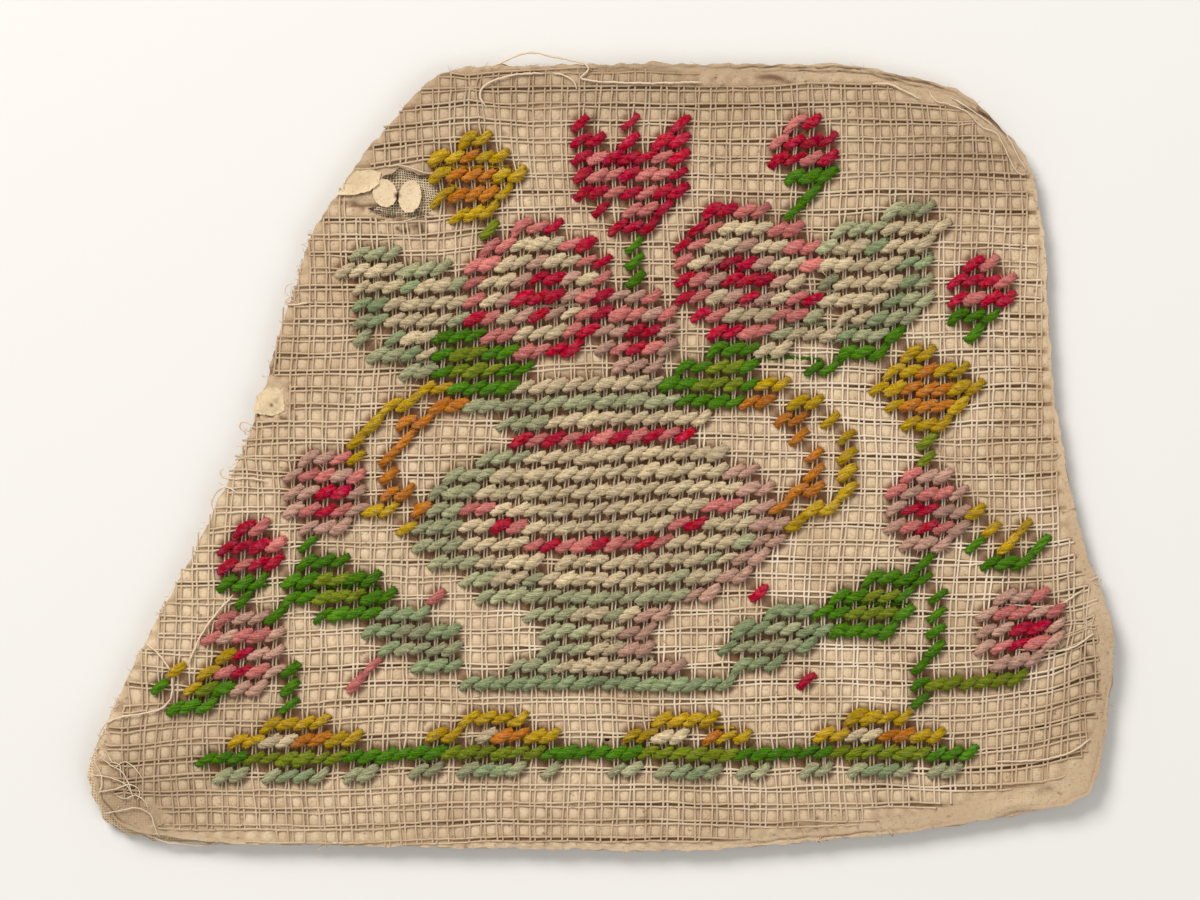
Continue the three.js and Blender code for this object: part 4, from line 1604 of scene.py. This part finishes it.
def make_wool(letter):
    """All that is worked in one wool: its stitches, the lengths carried behind, and the fuzz on both."""
    name, slot, _, _ = WOOLS[letter]
    paths = Paths()
    stitches = stitches_of(letter)
    for column, row in stitches:
        points, girth, root = stitch_path(column, row, letter)
        tint = stitch_tint(column, row, letter)
        paths.add(points, girth=girth, root=root, tint=tint, phase=CHANCE.random())
    add_floats(letter, paths)
    wool = paths.yarn(name, FINISHES[letter], PLY_RADIUS, plies=WOOL_PLIES, lay_radius=PLY_LAY,
                      turn_length=PLY_TURN, unevenness=PLY_UNEVENNESS)
    area = sum(face.area for face in wool.data.polygons)
    apply_tree(wool, FUZZ, Hairs_per_Square_Metre=HAIRS_PER_STITCH * len(stitches) / area,
               Hair_Length=HAIR_LENGTH * MM, Hair_Radius=HAIR_RADIUS * MM, Seed=ord(letter),
               Finish=FINISHES[letter])
    return wool


# ---------------------------------------------------------------- the tear, the wafers and the scrap
# The wafers' nodes, how far each slopes from left to right, and the seed of its unevenness.
WAFERS = (("wafer_left", 0.04, 3), ("wafer_right", -0.032, 6))
WAFER_THICKNESS = 0.26
WAFER_LIFT = 0.42     # the wafers' upper face in their middle, over the solids' underside
SCRAP_THICKNESS = 0.5
SCRAP_LIFT = 0.14     # the same at the scrap's rim
FLAP_THICKNESS = 0.20
FLAP_LIFT = 0.22      # the flap's upper face over the canvas solid's underside
FLAP_CURL = 0.50      # how much higher its lip is


def flat_patch(name, rim, step, thickness, top_of):
    """A small thin piece of smooth paper with a given rim."""
    inner = grid_points(rim.min(axis=0), rim.max(axis=0), step)
    inner = clear_of(inner[inside_loop(inner, rim)], [rim], step * 0.45)
    patch = sheet_solid(name, rim, [], inner, top_of, lambda x, y: top_of(x, y) - thickness, ())
    patch.data.materials.append(FINISHES["wafer"])
    points = mesh_points(patch.data)
    # stains, and painted shade in the slits of the tear
    give_values(patch, spot=spots_and_slit_shade_at(points[:, 0], points[:, 1]))
    return patch


def middle_of(node):
    """The x, y of the middle of a CAD node."""
    low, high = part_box(node)
    return ((low + high) / 2 / MM)[:2]


def make_wafer(node, slope, seed):
    """A snipped paper wafer pasted over the tear, a little cupped."""
    centre = middle_of(node)
    outline = Guide(node, centre).rim(240)[::17]
    rim = ragged(resample_loop(centre + (outline - centre) * (1.06, 1.0), 0.16), 0.03, seed)
    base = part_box(node)[0].z / MM + WAFER_LIFT

    def top(x, y):
        cup = 0.018 * ((x - centre[0]) ** 2 + (y - centre[1]) ** 2)
        return base + cup + slope * (x - centre[0]) + 0.05 * rumple(x, y, 1.3, seed)

    wafer = flat_patch(f"{node}_paper", rim, 0.22, WAFER_THICKNESS, top)
    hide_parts(node)
    return wafer


def make_scrap():
    """The scrap of smooth paper pasted into the worn place on the left edge."""
    rim = ragged(resample_loop(Guide("edge_scrap", middle_of("edge_scrap")).rim(240), 0.2), 0.07, 8)
    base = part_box("edge_scrap")[0].z / MM + SCRAP_LIFT

    def top(x, y):
        swell = 0.24 * smooth(distance_to(rim, x, y) / 1.3)
        return base + swell + 0.14 * rumple(x, y, 1.8, 3.0) + 0.07 * rumple(x, y, 0.7, 6.0)

    scrap = flat_patch("scrap_paper", rim, 0.22, SCRAP_THICKNESS, top)
    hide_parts("edge_scrap")
    return scrap


# The flap of smooth paper beside the tear, clockwise from its left tip, and the line its lip curls up from.
FLAP = ((-40.6, 40.5), (-38.9, 42.8), (-37.3, 44.7), (-35.4, 44.6), (-33.8, 43.9), (-34.1, 42.2),
        (-35.4, 41.2), (-37.8, 40.5))
FLAP_LIP = ((-40.6, 40.4), (-37.8, 40.5), (-35.4, 41.2), (-34.1, 42.3))


def make_flap():
    """The flap that was torn free beside the tear, its lip curled up."""
    rim = ragged(resample_loop(FLAP[::-1], 0.2), 0.06, 9)
    lip_x, lip_y = zip(*FLAP_LIP)

    def top(x, y):
        curl = np.exp(-np.clip(y - np.interp(x, lip_x, lip_y), 0, 9) / 0.6)
        return ground(x, y) + FLAP_LIFT + FLAP_CURL * curl + 0.05 * rumple(x, y, 2.0, 4.0)

    flap = flat_patch("paper_flap", rim, 0.24, FLAP_THICKNESS, top)
    return flap


def make_tear_gauze():
    """Fine gauze threads that span the tear under the wafers, over and under each other."""
    paths = Paths()
    low, high = np.min(PAPER_TEAR, axis=0) - 0.4, np.max(PAPER_TEAR, axis=0) + 0.4
    for along_x in (True, False):
        along, beside = (0, 1) if along_x else (1, 0)
        for number, level in enumerate(np.arange(low[beside], high[beside], GAUZE_PITCH)):
            t = np.arange(low[along], high[along], GAUZE_PITCH)
            drift = 0.035 * sway(600 + number + 100 * along_x, t, 3.1, 1.2) + 0.25 * sway(51, t + level, 9.0)
            x, y = (t, level + drift) if along_x else (level + drift, t)
            weave = 0.045 * np.where((np.arange(len(t)) + number + along_x) % 2, 1, -1)
            z = ground(x, y) - 0.50 + 0.22 * rumple(x, y, 3.0, 6.0) + weave
            keep = in_corners(x, y, CANVAS_TEAR, 1.4) & (CHANCE.random(len(t)) > 0.01)
            for first, last in runs_of(keep):
                if last - first > 3:
                    points = np.column_stack([x, y, z])[first:last]
                    # stains, and painted shade in the slits of the tear, on the threads
                    paths.add(points, clean=0.8, phase=CHANCE.random(), girth=CHANCE.normal(1, 0.12),
                              spot=0.9 * spots_and_slit_shade_at(points[:, 0], points[:, 1]))
    gauze = paths.yarn("tear_gauze_threads", FINISHES["gauze_thread"], GAUZE_THREAD_RADIUS, sides=4)
    return gauze


# ---------------------------------------------------------------- loose threads and frayed edges
# Threads that have come away: each a route of x, y and the height over the canvas solid's underside.
LOOSE_ROUTES = (
    ((-16.3, 60.5, -0.3), (-13.8, 61.6, -0.1), (-10.9, 62.5, 0.2), (-7.5, 61.9, 0.3), (-4.7, 61.3, 0.5),
     (-2.5, 60.8, 0.7), (-1.7, 59.9, 0.7), (-2.5, 59.1, 0.6), (-3.0, 58.6, 0.6), (-1.5, 58.1, 0.6),
     (3.0, 57.8, 0.7), (7.8, 57.7, 0.7), (15.5, 57.9, 0.6)),
    ((-8.6, 59.2, 0.5), (-11.6, 59.2, 0.6), (-15.0, 58.6, 0.7), (-17.4, 57.6, 0.8), (-18.5, 56.2, 0.8),
     (-18.2, 54.9, 0.7), (-17.5, 54.0, 0.6)),
    ((-7.4, 59.3, 0.5), (-5.4, 58.9, 0.6), (-4.1, 58.0, 0.6), (-3.6, 56.8, 0.5)),
    ((-70.8, -57.6, -0.5), (-69.2, -58.6, -0.6), (-67.2, -59.4, -0.8), (-64.3, -59.8, -1.0),
     (-60.8, -60.0, -1.1), (-59.6, -59.6, -1.0), (-58.3, -58.9, -0.6)),
    ((-70.3, -28.5, -0.2), (-69.2, -29.3, 0.6), (-67.6, -30.8, 0.8), (-66.3, -32.9, 0.8), (-65.9, -35.3, 0.8),
     (-66.3, -37.3, 0.8), (-67.8, -38.8, 0.8), (-70.8, -39.5, 0.8), (-74.2, -40.1, 0.7), (-76.4, -41.2, 0.3),
     (-77.4, -43.2, -0.2)),
    ((-43.8, -60.7, -0.9), (-42.6, -59.9, -0.4), (-41.2, -59.5, 0.1), (-39.6, -59.4, 0.3)),
    ((-56.6, -21.2, 0.4), (-59.6, -24.6, 0.7), (-61.6, -27.6, 0.8), (-63.4, -31.6, 0.7)),
    ((-58.0, -1.6, 0.3), (-58.6, -2.3, 0.2), (-58.2, -3.0, 0.1), (-56.6, -3.3, 0.3), (-54.4, -3.2, 0.6),
     (-51.4, -3.6, 0.6)),
    ((-59.7, -8.2, 0.0), (-59.9, -6.9, -0.1), (-59.4, -5.6, 0.0), (-58.3, -4.7, 0.2), (-57.2, -4.6, 0.4),
     (-55.9, -5.5, 0.6)),
    ((-54.6, 3.9, 0.2), (-55.6, 4.6, 0.3), (-55.4, 5.4, 0.4), (-54.4, 5.4, 0.5), (-53.2, 4.6, 0.6)),
    ((-47.4, 25.0, 0.3), (-48.4, 24.4, 0.3), (-48.2, 23.6, 0.3), (-46.6, 23.6, 0.5), (-44.6, 24.0, 0.6)),
    ((42.0, 57.7, 0.5), (44.9, 57.5, 0.7), (47.1, 56.4, 0.7), (49.2, 55.4, 0.5)),
    ((74.4, -20.4, 0.5), (71.0, -22.6, 0.7), (67.4, -23.0, 0.7), (62.4, -22.6, 0.6)),
    ((76.0, -27.2, 0.5), (72.6, -29.4, 0.7), (69.4, -29.8, 0.7), (64.4, -29.6, 0.6)),
    ((75.6, -43.4, 0.4), (72.6, -45.4, 0.6), (68.0, -46.6, 0.7), (61.0, -46.9, 0.6)),
)
# The same for finer ones: tangled fibres at the lower left tip, the canvas's broken edge on the shoulder, and
# a few at the tear and the other edges.
FINE_ROUTES = (
    ((-78.6, -48.8, 0.3), (-75.9, -49.2, 0.5), (-73.4, -50.1, 0.6), (-72.0, -51.9, 0.5)),
    ((-76.6, -46.4, 0.4), (-75.1, -47.6, 0.6), (-73.6, -48.4, 0.6), (-72.4, -50.8, 0.6), (-71.9, -52.6, 0.5)),
    ((-77.3, -51.6, 0.4), (-74.6, -51.0, 0.6), (-72.3, -50.4, 0.6), (-70.9, -51.4, 0.6), (-71.2, -52.8, 0.5)),
    ((-76.4, -54.9, 0.3), (-73.6, -54.3, 0.5), (-71.3, -54.0, 0.6), (-69.4, -54.9, 0.6), (-68.7, -56.8, 0.5),
     (-68.0, -58.4, 0.4)),
    ((-75.8, -45.6, 0.5), (-75.2, -46.9, 0.6), (-74.0, -47.3, 0.6), (-73.8, -49.3, 0.5)),
    ((-74.9, -47.9, 0.5), (-73.2, -46.9, 0.6), (-71.6, -47.9, 0.7), (-70.4, -49.6, 0.6)),
    ((-74.6, -51.9, 0.5), (-73.2, -52.6, 0.6), (-71.6, -52.0, 0.6), (-70.2, -52.9, 0.6), (-69.6, -54.2, 0.5)),
    ((-77.9, -47.0, 0.2), (-77.0, -48.4, 0.4), (-76.7, -50.2, 0.5), (-77.2, -52.0, 0.2)),
    ((50.8, 56.4, 0.3), (51.9, 54.9, 0.6), (53.6, 54.5, 0.6), (56.1, 53.5, 0.6), (57.5, 52.3, 0.6),
     (59.0, 50.8, 0.6), (61.1, 50.0, 0.6), (61.7, 48.9, 0.6), (62.7, 47.0, 0.6), (64.0, 44.4, 0.6),
     (65.2, 43.5, 0.5)),
    ((54.0, 55.6, 0.4), (55.9, 54.4, 0.6), (58.2, 52.9, 0.6), (60.4, 51.2, 0.6)),
    ((62.4, 50.2, 0.4), (63.6, 48.1, 0.6), (64.6, 46.1, 0.6), (65.9, 44.2, 0.4)),
    ((-33.4, 44.9, 0.4), (-31.2, 45.1, 0.6), (-28.9, 44.6, 0.6), (-26.9, 43.9, 0.6), (-24.6, 43.4, 0.6)),
    ((-33.8, 36.6, 0.3), (-32.0, 36.2, 0.4), (-30.2, 36.5, 0.4), (-28.4, 36.9, 0.4)),
    ((-47.6, 24.6, 0.3), (-48.6, 25.4, 0.2), (-48.3, 26.6, 0.2), (-47.2, 26.9, 0.3)),
    ((75.6, -18.9, 0.4), (76.9, -18.4, 0.2), (77.4, -19.6, 0.1)),
)


def rounded(route, spacing):
    """A smooth line through the corners of a route, with points about this far apart."""
    corners = np.array(route, float)
    padded = np.vstack([2 * corners[0] - corners[1], corners, 2 * corners[-1] - corners[-2]])
    points = []
    for before, start, end, after in zip(padded, padded[1:], padded[2:], padded[3:]):
        count = max(2, int(np.hypot(*(end - start)[:2]) / spacing))
        t = (np.arange(count) / count)[:, None]
        points.append(0.5 * (2 * start + (end - before) * t
                             + (2 * before - 5 * start + 4 * end - after) * t**2
                             + (3 * start - before - 3 * end + after) * t**3))
    return np.vstack([*points, corners[-1:]])


FINE_GIRTH = 0.6


def make_loose_threads():
    """The threads and fibres that have come away, thinner towards their ends."""
    paths = Paths()
    for number, route in enumerate(LOOSE_ROUTES + FINE_ROUTES):
        size = 1.0 if number < len(LOOSE_ROUTES) else FINE_GIRTH
        line = rounded(route, 0.45)
        line[:, 2] += ground(line[:, 0], line[:, 1])
        t = np.arange(len(line))
        line[:, 0] += 0.05 * sway(700 + number, t, 7.0, 3.3)
        line[:, 1] += 0.05 * sway(800 + number, t, 8.0, 2.9)
        ends = np.minimum(1.0, 0.5 + np.minimum(t, t[::-1]) / 4)
        girth = size * ends * (1 + 0.15 * sway(900 + number, t, 9.0, 4.1))
        paths.add(line, girth=girth, clean=0.35, phase=0.1 * number)
    threads = paths.yarn("loose_threads", FINISHES["canvas"], LOOSE_THREAD_RADIUS, sides=6)
    return threads


# Directions from the middle, in degrees, where the edge has frayed most, with their spread.
FRAYED = ((147.0, 4.0), (152.0, 3.0), (168.0, 6.0), (183.0, 9.0), (200.0, 6.0), (209.0, 5.0), (212.5, 3.0),
          (300.0, 3.0), (308.0, 3.0), (112.0, 6.0), (99.0, 6.0), (32.0, 3.0), (337.0, 2.0))
FRAY_FIBRES = 560
FRAY_AT_WORST = 0.72   # the share of them that stand there; the rest stand anywhere
# The sheets that fray, with how high a fibre leaves each, from and to, over the canvas solid's underside.
FRAYING = ((CANVAS, 0.0, 0.5), (PAPER, -0.6, 0.1), (GAUZE, -2.3, -1.5))
# Directions in which a tuft of fibres stands out from the rim.
TUFTS = (207.4, 209.6, 147.6, 152.2, 175.5, 180.4, 199.2, 300.1, 308.1, 346.2)
FIBRES_PER_TUFT = 26


def heading(way):
    """The direction of an angle, as x and y."""
    return np.array([math.cos(way), math.sin(way)])


def fibre_line(root, turn, length, height):
    """The points of a bent fibre: it starts at its root, and turn is the direction it takes at each."""
    steps = np.column_stack([np.cos(turn), np.sin(turn)]) * length / (len(turn) - 1)
    place = root + np.cumsum(steps, axis=0) - steps[0]
    return np.column_stack([place, np.maximum(height, LEAST_HEIGHT)])


def add_stray_fibre(paths):
    """One short broken fibre at the edge of one of the three sheets."""
    middles, spreads = np.array(FRAYED).T
    if CHANCE.random() < FRAY_AT_WORST:
        pick = CHANCE.integers(len(middles))
        way = math.radians(CHANCE.normal(middles[pick], spreads[pick]))
    else:
        way = CHANCE.random() * 2 * math.pi
    sheet, low, high = FRAYING[CHANCE.integers(len(FRAYING))]
    root = heading(way) * (sheet.reach(*heading(way)) - 0.15)
    length = 0.35 + 0.9 * CHANCE.random() ** 2
    t = np.linspace(0, 1, 5)
    turn = way + CHANCE.normal(0, 0.9) * (0.4 + t) + CHANCE.normal(0, 0.25) * t
    height = ground(*root) + CHANCE.uniform(low, high) + CHANCE.normal(0, 0.25) * t
    paths.add(fibre_line(root, turn, length, height),
              girth=1.15 - 0.75 * t, clean=0.1 * CHANCE.random(), phase=CHANCE.random())


def add_tuft_fibre(paths, degrees):
    """One fibre of a tuft that stands out from the rim in a direction."""
    way = math.radians(degrees) + CHANCE.normal(0, 0.006)
    root = heading(way) * (PAPER.reach(*heading(way)) - CHANCE.uniform(0.1, 0.7))
    t = np.linspace(0, 1, 4)
    turn = way + CHANCE.normal(0, 1.0) + CHANCE.normal(0, 0.9) * t
    length = CHANCE.uniform(0.4, 1.1)
    height = ground(*root) + CHANCE.uniform(-1.4, 0.2) + CHANCE.normal(0, 0.2) * t
    paths.add(fibre_line(root, turn, length, height), girth=2.1 - 1.1 * t, clean=0.15, phase=CHANCE.random())


def make_fray():
    """Short broken fibres that stand out from the edges of the three sheets, singly and in tufts."""
    paths = Paths()
    for _ in range(FRAY_FIBRES):
        add_stray_fibre(paths)
    for degrees in TUFTS:
        for _ in range(FIBRES_PER_TUFT):
            add_tuft_fibre(paths, degrees)
    fray = paths.yarn("edge_fray", FINISHES["canvas"], FRAY_FIBRE_RADIUS, sides=3)
    return fray


# ---------------------------------------------------------------- stage, light and camera
FLOOR_HALF = 2000      # millimetres
FLOOR_DROP = 0.0002    # metres, as all that follows
VIEW_DISTANCE = 0.62
VIEW_WIDTH = 0.186
VIEW_CENTRE = (0.0, 0.00116)
SENSOR_WIDTH = 36.0    # millimetres, as a camera has it


def make_stage():
    """The plain pale floor."""
    corners = [(-1, -1, 0), (1, -1, 0), (1, 1, 0), (-1, 1, 0)]
    floor = mesh_piece("floor", np.array(corners) * FLOOR_HALF, faces=[(0, 1, 2, 3)])
    floor.location.z = -FLOOR_DROP
    material, _, shader, _ = new_material("pale_floor", 0.9, 0.1)
    shader.inputs["Base Color"].default_value = srgb(222, 220, 216)
    floor.data.materials.append(material)


def make_light(name, place, size, energy, colour):
    """A square lamp that faces the middle of the piece."""
    lamp = bpy.data.lights.new(name, "AREA")
    lamp.size = size
    lamp.energy = energy
    lamp.color = colour
    light = new_object(name, lamp)
    light.location = place
    light.rotation_euler = (-Vector(place)).to_track_quat("-Z", "Y").to_euler()


def make_lights():
    """A window at the upper left, a softer fill from the lower right, and the light of the room."""
    make_light("window", (-0.55, 0.75, 0.85), 0.55, 16.0, (1.0, 0.98, 0.95))
    make_light("fill", (0.8, -0.5, 0.9), 0.9, 5.0, (0.96, 0.98, 1.0))
    world = bpy.data.worlds.new("studio")
    bpy.context.scene.world = world
    world.use_nodes = True
    background = world.node_tree.nodes["Background"]
    background.inputs["Color"].default_value = (1.0, 0.99, 0.97, 1.0)
    background.inputs["Strength"].default_value = 0.45


def make_camera():
    """A camera straight above, whose view is so many metres wide at the piece."""
    lens = bpy.data.cameras.new("camera")
    lens.sensor_width = SENSOR_WIDTH
    lens.lens = SENSOR_WIDTH * VIEW_DISTANCE / VIEW_WIDTH
    camera = new_object("camera", lens)
    camera.location = (*VIEW_CENTRE, VIEW_DISTANCE)
    bpy.context.scene.camera = camera
    bpy.context.scene.view_settings.view_transform = "Standard"


# ---------------------------------------------------------------- the whole
make_camera()
make_lights()
make_stage()

paper = make_paper()
gauze = make_gauze()
canvas = make_canvas()
wools = [make_wool(letter) for letter in WOOLS]
papers = [*(make_wafer(*wafer) for wafer in WAFERS), make_scrap(), make_flap()]
tear_gauze = make_tear_gauze()
loose = make_loose_threads()
fray = make_fray()

for piece in (paper, gauze, canvas, *wools, *papers, tear_gauze, loose, fray):
    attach(piece, "root")
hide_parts("paper_backing")
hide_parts("gauze_lining")
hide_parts("canvas")
